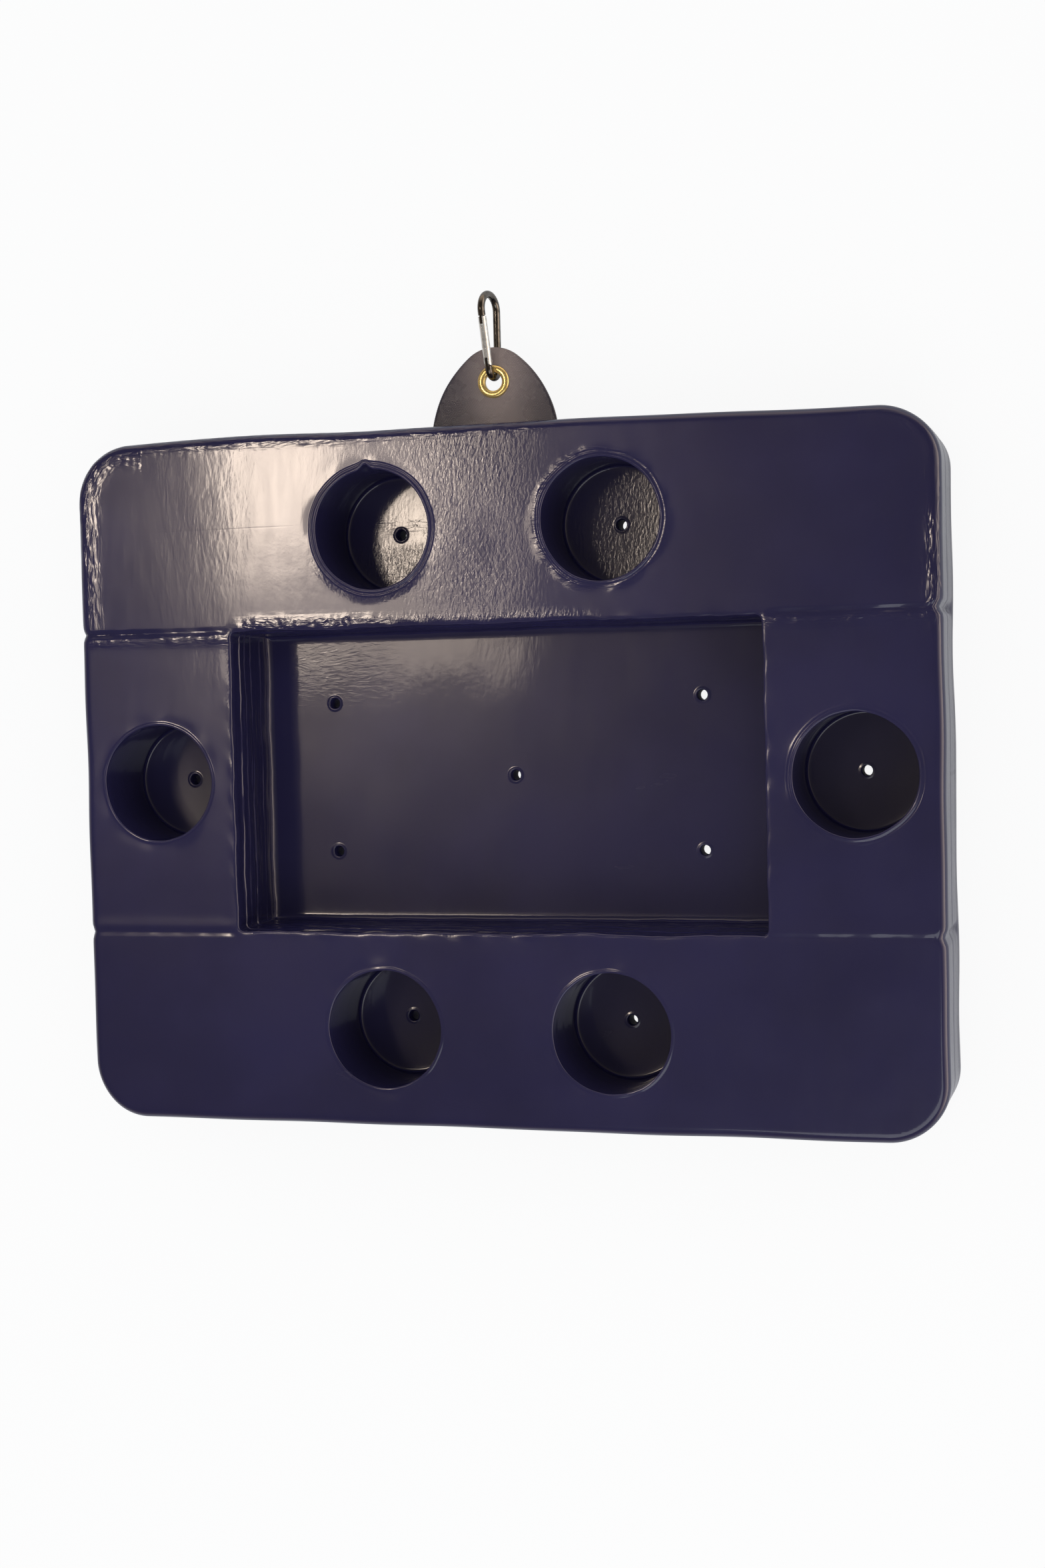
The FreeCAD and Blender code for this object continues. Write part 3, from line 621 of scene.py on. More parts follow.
def finished_object(name: str, mesh: bpy.types.Mesh,
                    material: bpy.types.Material | None) -> bpy.types.Object:
    """Object at the origin with smooth faces and a material.

    Args:
        name: name of the piece.
        mesh: its mesh, in place.
        material: its material, or None where a node tree sets it.

    Returns:
        The linked object.
    """
    mesh.name = name
    mesh.polygons.foreach_set("use_smooth", [True] * len(mesh.polygons))
    if material is not None:
        mesh.materials.clear()
        mesh.materials.append(material)
    return linked(name, mesh)


def with_modifiers(piece: bpy.types.Object) -> bpy.types.Object:
    """Piece of the same name with its modifiers applied, in place of the piece."""
    shown = piece.evaluated_get(bpy.context.evaluated_depsgraph_get())
    result = bpy.data.meshes.new_from_object(shown)
    name = piece.name
    bpy.data.objects.remove(piece)
    return finished_object(name, result, None)


class GeometryTree(Tree):
    """Geometry Nodes tree with named inputs, run once on a piece."""

    def __init__(self, name: str, sizes: dict[str, float], material: bpy.types.Material) -> None:
        """Make the group's sockets: the geometry, then a number for each size."""
        group = bpy.data.node_groups.new(name, "GeometryNodeTree")
        super().__init__(group)
        self.sizes = sizes
        self.material = material
        group.interface.new_socket("Geometry", in_out="INPUT", socket_type="NodeSocketGeometry")
        self.keys = {}
        for label in sizes:
            item = group.interface.new_socket(label, in_out="INPUT", socket_type="NodeSocketFloat")
            self.keys[label] = item.identifier
        group.interface.new_socket("Geometry", in_out="OUTPUT", socket_type="NodeSocketGeometry")
        self.entry = self.add("NodeGroupInput")

    def size(self, label: str) -> Signal:
        """One of the named inputs."""
        return Signal(self, self.entry.outputs[label])

    def close(self, shape: bpy.types.NodeSocket) -> None:
        """End the tree in Realize Instances and Set Material."""
        real = self.add("GeometryNodeRealizeInstances", None, {0: shape})
        dressed = self.add("GeometryNodeSetMaterial", None,
                           {"Geometry": real.outputs[0], "Material": self.material})
        output = self.add("NodeGroupOutput")
        self.feed(output.inputs[0], dressed.outputs[0])

    def run(self, piece: bpy.types.Object) -> bpy.types.Object:
        """Apply the tree to a piece and keep the result as a plain mesh."""
        modifier = piece.modifiers.new(self.tree.name, "NODES")
        modifier.node_group = self.tree
        for label, value in self.sizes.items():
            modifier[self.keys[label]] = value
        return with_modifiers(piece)


@dataclass(frozen=True)
class Cup:
    """One cup pocket: its place, how proud its bead stands, and its floor's tilt."""

    centre: Pair
    bead: float
    outer: float = 0.0
    tilt: Pair = (0.0, 0.0)


@dataclass
class TraySkin:
    """The dipped coat of the whole tray, as one closed skin with its hand-made unevenness."""

    half_x: float = 312.2 * MM
    half_y: float = 246.2 * MM
    corner: float = 41.0 * MM
    top: float = 78.6 * MM
    floor: float = 15.1 * MM
    middle_line: float = 45.65 * MM
    lower_line: float = 13.9 * MM
    roll: float = 6.2 * MM
    foot: float = 3.0 * MM
    well_x: float = 193.0 * MM
    well_y: float = 107.8 * MM
    well_corner: float = 4.0 * MM
    well_rim: float = 1.5 * MM
    cove: float = 4.5 * MM
    ledges: tuple[Pair, ...] = ((0.0645, 0.0006), (0.0560, 0.0004), (0.0457, 0.0005), (0.0300, 0.0003))
    cup_radius: float = 42.0 * MM
    cup_skirt: float = 6.0 * MM
    cup_cove: float = 2.4 * MM
    drain_skirt: float = 1.3 * MM
    drain: float = 3.75 * MM
    drain_lip: float = 1.7 * MM
    seam_y: float = 109.0 * MM
    fine: float = 1.8 * MM
    floor_step: float = 1.9 * MM
    back_sag: float = 4.0 * MM
    back_swell: float = 1.6 * MM
    wander: float = 0.5 * MM
    fine_wander: float = 0.2 * MM
    right_notches: Pair = (3.0 * MM, 2.2 * MM)
    left_notch: float = 1.6 * MM
    nick_depth: float = 4.2 * MM

    def __post_init__(self) -> None:
        """Work out the outlines, cups and drains."""
        self.outline = RoundedBox(self.half_x, self.half_y, self.corner, 2.6 * MM)
        self.well = RoundedBox(self.well_x, self.well_y, self.well_corner, 2.3 * MM)
        self.cups = [
            Cup((-0.0829, 0.1767), 0.60 * MM, 0.25 * MM, (0.020, -0.015)),
            Cup((0.0829, 0.1767), 0.45 * MM, 0.12 * MM),
            Cup((-0.0829, -0.1767), 0.25 * MM),
            Cup((0.0829, -0.1767), 0.25 * MM),
            Cup((-0.2533, 0.0), 0.25 * MM),
            Cup((0.2533, 0.0), 0.40 * MM, 0.1 * MM),
        ]
        self.ledge_depth = sum(depth for _, depth in self.ledges)
        self.well_foot = self.cove + self.ledge_depth
        self.well_drains = [(0.0, 0.0)] + [(x, y) for x in (-0.1385, 0.1385) for y in (-0.0549, 0.0549)]
        self.drains = self.well_drains + [cup.centre for cup in self.cups]

    def grid(self, half_x: float, half_y: float, step: float,
             near: Callable[[np.ndarray], np.ndarray] | None = None) -> np.ndarray:
        """Points of a flat: every second one away from what is near.

        Args:
            half_x: reach along X.
            half_y: reach along Y.
            step: distance of the fine points.
            near: says which points stay although they are odd.

        Returns:
            Points in plan.
        """
        columns = int(half_x / step)
        rows = int(half_y / (step * 0.87))
        across, along = np.meshgrid(np.arange(-columns, columns + 1), np.arange(-rows, rows + 1))
        even = ((across % 2 == 0) & (along % 2 == 0)).ravel()
        x = (across + 0.5 * (along % 2)) * step
        spots = np.column_stack((x.ravel(), (along * step * 0.87).ravel()))
        return spots[even | near(spots)] if near else spots[even]

    def top_face(self, shell: Shell) -> None:
        """Top face between the rolled edge, the well's rim and the cups."""
        skirt = self.cup_radius + self.cup_skirt
        rings = [Ring(cup.centre, CUP_COLUMNS) for cup in self.cups]

        def close_by(spots: np.ndarray) -> np.ndarray:
            """Which points are near an edge, a seam or a cup."""
            close = self.outline.distance(spots) > -24.0 * MM
            close |= self.well.distance(spots) < 9.0 * MM
            close |= np.abs(np.abs(spots[:, 1]) - self.seam_y) < 6.0 * MM
            for ring, cup in zip(rings, self.cups):
                close |= ring.distance(spots, skirt) < (9.0 if cup.bead > 0.42 * MM else 4.0) * MM
            return close

        holes = [(self.well, self.well_rim)] + [(ring, skirt) for ring in rings]
        shell.between((self.outline, -self.roll), holes,
                      self.grid(self.half_x, self.half_y, self.fine, close_by), 0.55 * self.fine, self.top)

    def outside(self, shell: Shell) -> None:
        """Rolled top edge, sides with their layer lines, and the foot."""
        rings = []
        for cosine, sine in arc(90.0, 0.0, 8):
            grow = self.roll * (cosine - 1.0)
            rings.append((self.outline.loop(grow), self.top + self.roll * (sine - 1.0)))
        for level in np.linspace(self.top - self.roll, self.foot, 30)[1:]:
            dip = 0.7 * MM * bell(level, self.middle_line, 1.6 * MM)
            dip += 0.5 * MM * bell(level, self.lower_line, 1.6 * MM)
            rings.append((self.outline.loop(-dip), level))
        for cosine, sine in arc(0.0, 90.0, 5)[1:]:
            rings.append((self.outline.loop(self.foot * (cosine - 1.0)), self.foot * (1.0 - sine)))
        shell.strip(rings)

    def wall_levels(self, start: float, cove: float) -> np.ndarray:
        """Heights of a pocket's wall from a start down to its cove."""
        return np.linspace(start, self.floor + cove, 18)

    def well_walls(self, shell: Shell) -> None:
        """Eased rim, walls and cove of the centre well."""
        rings = []
        for cosine, sine in arc(0.0, 90.0, 5):
            rings.append((self.well.loop(self.well_rim * (1.0 - sine)),
                          self.top - self.well_rim * (1.0 - cosine)))
        levels = list(self.wall_levels(self.top - self.well_rim, self.cove)[1:])
        for ledge, _ in self.ledges:
            levels += [ledge + shift * MM for shift in (-0.7, -0.25, 0.1, 0.35, 0.6)]
        for level in sorted(levels, reverse=True):
            inward = sum(depth * fall(level, ledge - 0.2 * MM, ledge + 0.6 * MM)
                         for ledge, depth in self.ledges)
            rings.append((self.well.loop(-inward), level))
        for cosine, sine in arc(0.0, 90.0, 7)[1:]:
            rings.append((self.well.loop(-self.ledge_depth - self.cove * (1.0 - cosine)),
                          self.floor + self.cove * (1.0 - sine)))
        shell.strip(rings)

    def drain_tube(self, shell: Shell, centre: Pair) -> None:
        """Raised lip, lined hole and mouth of one drain."""
        lip = self.drain + self.drain_lip
        skirt = lip + self.drain_skirt
        profile = [(skirt, self.floor), (lip + 0.25 * MM, self.floor),
                   (lip - 0.5 * MM, self.floor + 0.3 * MM),
                   (self.drain + 0.35 * MM, self.floor + 0.25 * MM), (self.drain, self.floor - 0.5 * MM),
                   (self.drain, self.floor * 0.5), (self.drain, 1.2 * MM),
                   (self.drain + 0.4 * MM, 0.35 * MM), (lip, 0.0), (skirt, 0.0)]
        shell.turned(Ring(centre, DRAIN_COLUMNS), profile)

    def floors(self, shell: Shell) -> None:
        """Floors of the well and cups with their drain holes, and the underside."""
        lip = self.drain + self.drain_lip + self.drain_skirt
        drains = [(Ring(centre, DRAIN_COLUMNS), lip) for centre in self.drains]
        count = len(self.well_drains)
        spots = self.grid(self.well_x, self.well_y, self.floor_step,
                          lambda s: self.well.distance(s) > -6.0 * MM)
        shell.between((self.well, -self.well_foot), drains[:count], spots, 1.0 * MM, self.floor)
        reach = self.cup_radius - self.cup_cove
        spots = self.grid(reach, reach, self.floor_step)
        for cup, drain in zip(self.cups, drains[count:]):
            shell.between((Ring(cup.centre, CUP_COLUMNS), reach), [drain],
                          spots + np.array(cup.centre), 1.0 * MM, self.floor)
        spots = self.grid(self.half_x, self.half_y, 3.6 * MM)
        shell.between((self.outline, -self.foot), drains, spots, 2.0 * MM, 0.0)

    def cup_walls(self, shell: Shell, cup: Cup) -> None:
        """Bead, wall and cove of one cup pocket."""
        radius = self.cup_radius
        profile = [(radius + self.cup_skirt, self.top)]
        for reach, height in ((5.4, 0.0), (4.9, 0.5), (4.4, 1.0), (3.9, 0.5), (3.4, 0.0)):
            profile.append((radius + reach * MM, self.top + height * cup.outer))
        for reach, height in ((3.0, 0.05), (2.5, 0.30), (2.1, 0.65), (1.7, 0.93), (1.3, 1.0),
                              (0.9, 0.85), (0.5, 0.50), (0.2, 0.0)):
            profile.append((radius + reach * MM, self.top + height * cup.bead))
        profile.append((radius + 0.04 * MM, self.top - 0.45 * MM))
        for level in self.wall_levels(self.top - 1.0 * MM, self.cup_cove):
            profile.append((radius + 0.22 * MM * bell(level, self.middle_line, 1.8 * MM), level))
        for cosine, sine in arc(0.0, 90.0, 9)[1:]:
            profile.append((radius - self.cup_cove * (1.0 - cosine),
                            self.floor + self.cup_cove * (1.0 - sine)))
        shell.turned(Ring(cup.centre, CUP_COLUMNS), profile)

    def masks(self, points: np.ndarray) -> dict[Mask, np.ndarray]:
        """How strong each trait of the coat is, and the places about the outer edge.

        Args:
            points: places on the even skin.

        Returns:
            One value for each point, by mask.
        """
        x, y, z = points.T
        plan = points[:, :2]
        high = rise(z, 0.066, 0.077)
        on_floor = z < 0.02
        edge = self.outline.distance(plan)
        rim = self.well.distance(plan)
        first, second = (np.linalg.norm(plan - np.array(cup.centre), axis=1) for cup in self.cups[:2])
        over = -edge - (self.top - z)
        back_part = rise(y, 0.085, 0.12)
        back = bell(over, 1.0 * MM, 6.0 * MM) * rise(y, 0.15, 0.215) * (1.0 - 0.95 * rise(x, 0.0, 0.12))
        left = bell(over, 7.0 * MM, 8.0 * MM) * (x < -0.26) * back_part
        right = bell(over, 5.0 * MM, 6.0 * MM) * (x > 0.26) * back_part * (0.6 + 1.6 * fall(y, 0.15, 0.185))
        outer_side = (edge > -3.0 * MM) * 0.3
        puckers = np.maximum.reduce((back * 1.2, left * 1.3, right, (1.0 - high) * outer_side))
        puckers *= edge > -30.0 * MM

        behind = bell(rim, 4.0 * MM, 4.0 * MM) * rise(y, 0.09, 0.105) * high
        curls = behind * rise(x, -0.2, -0.17) * fall(x, -0.09, -0.05)
        seams = bell(np.abs(y), self.seam_y - 5.0 * MM, 4.0 * MM) * (np.abs(x) > self.well_x) * (y > 0.0)
        seams *= np.where(x < 0.0, 0.5, 0.9) * high
        swept = bell(x, -0.15, 0.05) * rise(y, 0.02, 0.09) * on_floor * (rim < -4.0 * MM) * 0.10
        ring = bell(second, 46.0 * MM, 3.5 * MM) * high * 0.45
        lumps = np.maximum.reduce((curls, seams, ring, swept, back * 0.6))

        teeth = bell(first, 46.5 * MM, 4.0 * MM) * high * rise(self.cups[0].centre[1] - y, 0.012, 0.034)
        marks = behind * rise(x, -0.09, -0.05) * fall(x, 0.02, 0.11)
        jagged = bell(rim, 1.0 * MM, 2.0 * MM) * high * (0.6 * (x < -0.19) + 0.5 * (y < -0.1))
        field = bell(x, -0.018, 0.045) * rise(y, 0.10, 0.135) * high * (rim > 0.0)
        pits = (first < 0.041) * (0.20 + 1.1 * rise(0.174 - y, 0.0, 0.012)) + (second < 0.041) * 0.8
        rain = np.maximum.reduce((teeth * 2.2, marks * 1.8, jagged, field, on_floor * pits, high * 0.06))

        wall = bell(rim, 0.0, 2.0 * MM) * rise(z, 0.016, 0.022) * fall(z, 0.073, 0.077)
        folds = bell(z, 0.046, 0.011) * (1.0 - 0.8 * rise(y, 0.02, 0.09))
        wall *= 0.25 + (x < -0.15) * (0.75 + 2.2 * folds)
        layers = np.maximum(wall, outer_side * rise(z, 0.004, 0.01) * fall(z, 0.06, 0.07))
        return {Mask.LUMPS: lumps, Mask.PUCKERS: puckers, Mask.LAYERS: layers, Mask.RAIN: rain,
                Mask.OVER: over, Mask.ALONG: self.outline.along(plan)}

    def uneven(self, points: np.ndarray) -> np.ndarray:
        """Skin as the dipping left it: wandering edges, drawn-in seams and a soft surface."""
        x, y, z = points.T
        plan = points[:, :2]
        moved = points.copy()
        high = rise(z, 0.070, 0.078)
        back = rise(y, 0.20, 0.2462)
        moved[:, 1] += back * (self.back_swell * bell(x, -0.19, 0.07) - self.back_sag * rise(x, 0.05, 0.27))
        edge = self.outline.distance(plan)
        rim_band = rise(edge, -0.018, 0.0)
        free = 1.0 - bell(x, 0.0, 0.05) * (y > 0.2)
        for axis, length in enumerate((0.11, 0.09)):
            moved[:, axis] += rim_band * self.wander * ripple(points, length, 3 + axis) * free
        notch = bell(np.abs(y), self.seam_y, 3.5 * MM) * rise(z, 0.008, 0.02)
        moved[:, 0] -= notch * rise(x, 0.29, self.half_x) * np.where(y > 0.0, *self.right_notches)
        moved[:, 0] += notch * rise(-x, 0.29, self.half_x) * self.left_notch
        seam = bell(np.abs(y), self.seam_y - 0.2 * MM, 1.3 * MM) * rise(np.abs(x), 0.1935, 0.199)
        groove = 0.0004 + 0.0017 * fall(x, -0.27, -0.245) + 0.0008 * rise(x, 0.19, 0.21)
        depth = np.where(y > 0.0, groove, 0.0004) * (1.0 + 0.35 * ripple(points, 0.02, 5))
        moved[:, 2] -= seam * depth * high
        lift = bell(np.abs(y), self.seam_y - 5.0 * MM, 4.0 * MM) * rise(np.abs(x), 0.1935, 0.205)
        moved[:, 2] += lift * 0.00022 * high
        moved[:, 2] += high * (0.00005 * ripple(points, 0.13, 6) + 0.000006 * ripple(points, 0.022, 7))
        rim = self.well.distance(plan)
        near_rim = bell(rim, 0.0, 4.0 * MM)
        for axis in (0, 1):
            shift = self.wander * ripple(points, 0.045, 8 + axis)
            shift += self.fine_wander * ripple(points, 0.014, 13 + axis)
            moved[:, axis] += near_rim * shift
        moved[:, 2] += near_rim * high * self.fine_wander * ripple(points, 0.02, 10)
        self.shape_pockets(points, moved)
        on_floor = (z < self.floor + 1.4 * MM) * (z > self.floor - 0.6 * MM)
        moved[:, 2] += on_floor * (0.00004 * ripple(points, 0.09, 11) + 0.000006 * ripple(points, 0.02, 12))
        nick = bell(np.hypot((x + 0.0865) * 1.3, y - 0.2200), 0.0, 4.4 * MM) * rise(z, 0.050, 0.078)
        moved[:, 1] += nick * self.nick_depth
        return moved

    def shape_pockets(self, points: np.ndarray, moved: np.ndarray) -> None:
        """Pool the coat in the cups' floors, wander their beads and lean the drains, in place."""
        z = points[:, 2]
        low = fall(z, 0.018, 0.03) * (z > 0.0145)
        for number, cup in enumerate(self.cups):
            away = points[:, :2] - np.array(cup.centre)
            reach = np.linalg.norm(away, axis=1)
            inside = (reach < self.cup_radius + 0.5 * MM) * low
            moved[:, 2] += inside * (0.5 * reach ** 2 + away @ np.array(cup.tilt))
            bead = bell(reach, self.cup_radius + 3.0 * MM, 4.5 * MM) * (z > 0.07)
            wander = 0.00045 * ripple(points, 0.05, 30 + number) + 0.00012 * ripple(points, 0.012, 40)
            moved[:, :2] += away / np.maximum(reach, 1e-6)[:, None] * (bead * wander)[:, None]
            moved[:, 2] += bead * self.fine_wander * ripple(points, 0.03, 50 + number)
        for centre in self.drains:
            reach = np.linalg.norm(points[:, :2] - np.array(centre), axis=1)
            lean = 2.6 * MM if centre[0] < -0.05 else 1.6 * MM if centre[0] < 0.1 else 0.0
            near = 1.0 - rise(reach, self.drain + 0.8 * MM, 3.0 * self.drain)
            moved[:, 0] += near * lean * np.clip(1.0 - z / (self.floor - 1.0 * MM), 0.0, 1.0)

    def relief_tree(self, material: bpy.types.Material) -> GeometryTree:
        """Geometry tree that raises lumps, puckers and plies along the skin's normal."""
        tree = GeometryTree("coat_relief", {"Lump Height": 0.0005, "Lump Scale": 210.0,
                                            "Pucker Height": 0.00018, "Ply Height": 0.0004, "Seed": 4.0},
                            material)
        place = tree.add("GeometryNodeInputPosition").outputs[0]
        shift = tree.add("ShaderNodeVectorMath", {"operation": "ADD"},
                         {0: place, 1: tree.joined(tree.size("Seed"))})
        spot = shift.outputs[0]
        lump = (tree.noise(spot, tree.size("Lump Scale")) - 0.47).above(0.0) * 3.0
        height = tree.named(Mask.LUMPS) * lump * tree.size("Lump Height")
        for mask, scale, size in ((Mask.PUCKERS, (210.0, 60.0, 120.0), "Pucker Height"),
                                  (Mask.LAYERS, (25.0, 25.0, 260.0), "Ply Height")):
            waves = tree.grain(spot, scale, 1.0)
            height = height + tree.named(mask) * (waves - 0.5) * 2.0 * tree.size(size)
        normal = tree.add("GeometryNodeInputNormal").outputs[0]
        push = tree.add("ShaderNodeVectorMath", {"operation": "SCALE"}, {0: normal, "Scale": height})
        raised = tree.add("GeometryNodeSetPosition", None,
                          {"Geometry": tree.entry.outputs[0], "Offset": push.outputs[0]})
        tree.close(raised.outputs[0])
        return tree

    def build(self, material: bpy.types.Material) -> bpy.types.Object:
        """Make, shape and dress the skin."""
        shell = Shell()
        self.top_face(shell)
        self.outside(shell)
        self.well_walls(shell)
        for cup in self.cups:
            self.cup_walls(shell, cup)
        self.floors(shell)
        for centre in self.drains:
            self.drain_tube(shell, centre)
        mesh = shell.mesh("tray_skin")
        points = coordinates(mesh)
        for mask, values in self.masks(points).items():
            layer = mesh.attributes.new(mask.value, "FLOAT", "POINT")
            layer.data.foreach_set("value", values.astype(np.float32))
        place_vertices(mesh, self.uneven(points))
        piece = finished_object("tray_skin", mesh, material)
        piece = self.relief_tree(material).run(piece)
        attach(piece, Body.TRAY.value)
        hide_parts("vinyl_skin", "underside_coat", "base_sheet", "tab_anchor", *[
            f"{layer}_{side}" for layer in ("lower", "upper")
            for side in ("back_rail", "front_rail", "left_bar", "right_bar")])
        return piece


@dataclass
class Tab:
    """The cloth tab: an arch outside the tray and a tongue laminated in it."""

    half: float = 46.0 * MM
    reach: float = 56.5 * MM
    tip: float = 28.0 * MM
    flare: float = math.radians(9.0)
    tongue: float = 40.0 * MM
    side: float = 246.2 * MM
    fold_gap: float = 1.0 * MM
    level: float = 45.65 * MM
    thick: float = 1.2 * MM
    hole_y: float = 278.6 * MM
    hole_radius: float = 7.05 * MM
    bow_height: float = 0.6 * MM
    sway_height: float = 0.4 * MM

    def edge(self, along: np.ndarray) -> np.ndarray:
        """Half width of the arch at distances from the fold line."""
        reach = self.reach - self.fold_gap
        crest = reach - self.tip
        radius = (self.half ** 2 + crest ** 2 - self.tip ** 2) / (
            2.0 * (self.half * math.cos(self.flare) - crest * math.sin(self.flare) - self.tip))
        centre_x = self.half - radius * math.cos(self.flare)
        centre_y = -radius * math.sin(self.flare)
        flank = centre_x + np.sqrt(np.maximum(radius ** 2 - (along - centre_y) ** 2, 0.0))
        crown = np.sqrt(np.maximum(self.tip ** 2 - (along - crest) ** 2, 0.0))
        lean = math.atan2(crest - centre_y, -centre_x)
        return np.where(along < crest + self.tip * math.sin(lean), flank, crown)

    def outline(self) -> np.ndarray:
        """Outline of the whole cut in plan."""
        along = (self.reach - self.fold_gap) * np.sin(np.linspace(0.0, math.pi / 2.0, 44))
        width = self.edge(along)
        start = self.side + self.fold_gap
        back = self.side - self.tongue
        right = np.column_stack((width, start + along))
        left = np.column_stack((-width[:-1], start + along[:-1]))[::-1]
        corners = [np.array(spot) for spot in ((-self.half, start), (-self.half, back),
                                               (self.half, back), (self.half, start))]
        runs = np.linspace(0.0, 1.0, 18)[:-1, None]
        sides = [first * (1 - runs) + last * runs for first, last in zip(corners, corners[1:])]
        return np.concatenate((right, left, sides[0][1:], *sides[1:]))

    def build(self, material: bpy.types.Material) -> bpy.types.Object:
        """Make the tab as one bent cloth that folds where it leaves the tray."""
        outline = self.outline()
        hole = Ring((0.0, self.hole_y), 40)
        step = 2.0 * MM
        across, along = np.meshgrid(np.arange(-0.046, 0.0461, step), np.arange(0.2062, 0.3030, step))
        spots = np.column_stack((across.ravel(), along.ravel()))

        def inside(points: np.ndarray, margin: float) -> np.ndarray:
            """Whether points are on the cloth by more than a margin."""
            away = points[:, 1] - self.side - self.fold_gap
            width = np.where(away > 0.0, self.edge(np.maximum(away, 0.0)), self.half)
            near_top = away < self.reach - self.fold_gap - margin
            kept = (np.abs(points[:, 0]) < width - margin) & near_top
            kept &= points[:, 1] > self.side - self.tongue + margin
            return kept & (hole.distance(points, self.hole_radius) > margin)

        shell = Shell()
        shell.flat(outline, [hole.loop(self.hole_radius)], spots[inside(spots, 1.0 * MM)], self.level,
                   lambda s: inside(s, 0.0))
        mesh = shell.mesh("tab_cloth")
        points = coordinates(mesh)
        away = np.maximum(points[:, 1] - self.side - 2.0 * MM, 0.0)
        bow = (np.abs(points[:, 0]) / self.half) ** 2.5
        flat_round = rise(hole.distance(points[:, :2], 0.0), 0.012, 0.03)
        curl = bow * self.bow_height * rise(away, 0.0, 0.02)
        sway = self.sway_height * ripple(points, 0.045, 21) * rise(away, 0.0, 0.01)
        points[:, 2] += (curl + sway) * flat_round
        place_vertices(mesh, points)
        piece = finished_object("tab_cloth", mesh, material)
        wall = piece.modifiers.new("cloth_thickness", "SOLIDIFY")
        wall.thickness = self.thick
        wall.offset = 0.0
        wall.use_even_offset = True
        piece = with_modifiers(piece)
        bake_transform(piece)
        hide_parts("tab_flap")
        return piece


@dataclass
class Grommet:
    """Brass eyelet and the washer behind it."""

    centre_y: float = 278.6 * MM
    level: float = 45.65 * MM
    bore: float = 6.35 * MM
    outer: float = 11.5 * MM
    wall: float = 0.6 * MM
    crown: float = 1.6 * MM
    cloth: float = 0.6 * MM
    columns: int = 72

    def turned(self, name: str, profile: Sequence[Pair], material: bpy.types.Material) -> bpy.types.Object:
        """Piece turned from a closed profile of radius and height about the hole's axis."""
        shell = Shell()
        shell.turned(Ring((0.0, self.centre_y), self.columns),
                     [(radius, self.level + height) for radius, height in (*profile, profile[0])])
        piece = finished_object(name, shell.mesh(name), material)
        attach(piece, Body.TAB.value)
        return piece

    def build(self, material: bpy.types.Material) -> list[bpy.types.Object]:
        """Make the eyelet and the washer."""
        half = self.cloth
        width = self.outer - self.bore
        barrel = self.bore + self.wall
        eyelet = [(self.bore + width * 0.5 * (1.0 - cosine), half + 0.1 * MM + self.crown * sine ** 0.8)
                  for cosine, sine in arc(0.0, 180.0, 15)]
        eyelet += [
            (self.outer - 0.3 * MM, half), (barrel + 0.4 * MM, half), (barrel, half - 0.2 * MM),
            (barrel, -half - 2.0 * self.wall)]
        clinch = self.bore + 2.4 * MM
        for cosine, sine in arc(0.0, 180.0, 9):
            radius = (self.bore + clinch) / 2.0 + (clinch - self.bore) / 2.0 * cosine
            eyelet.append((radius, -half - 2.0 * self.wall - self.wall * sine))
        ring = [(barrel + 0.02 * MM, -half), (self.outer, -half), (self.outer + 0.1 * MM, -half - 0.3 * MM),
                (self.outer - 0.3 * MM, -half - 0.9 * MM), (self.outer - 1.2 * MM, -half - 1.15 * MM),
                (barrel + 0.02 * MM, -half - 1.15 * MM)]
        flange = self.turned("grommet_flange", eyelet, material)
        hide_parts("grommet_eyelet")
        washer = self.turned("grommet_backing", ring, material)
        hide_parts("grommet_washer")
        return [flange, washer]


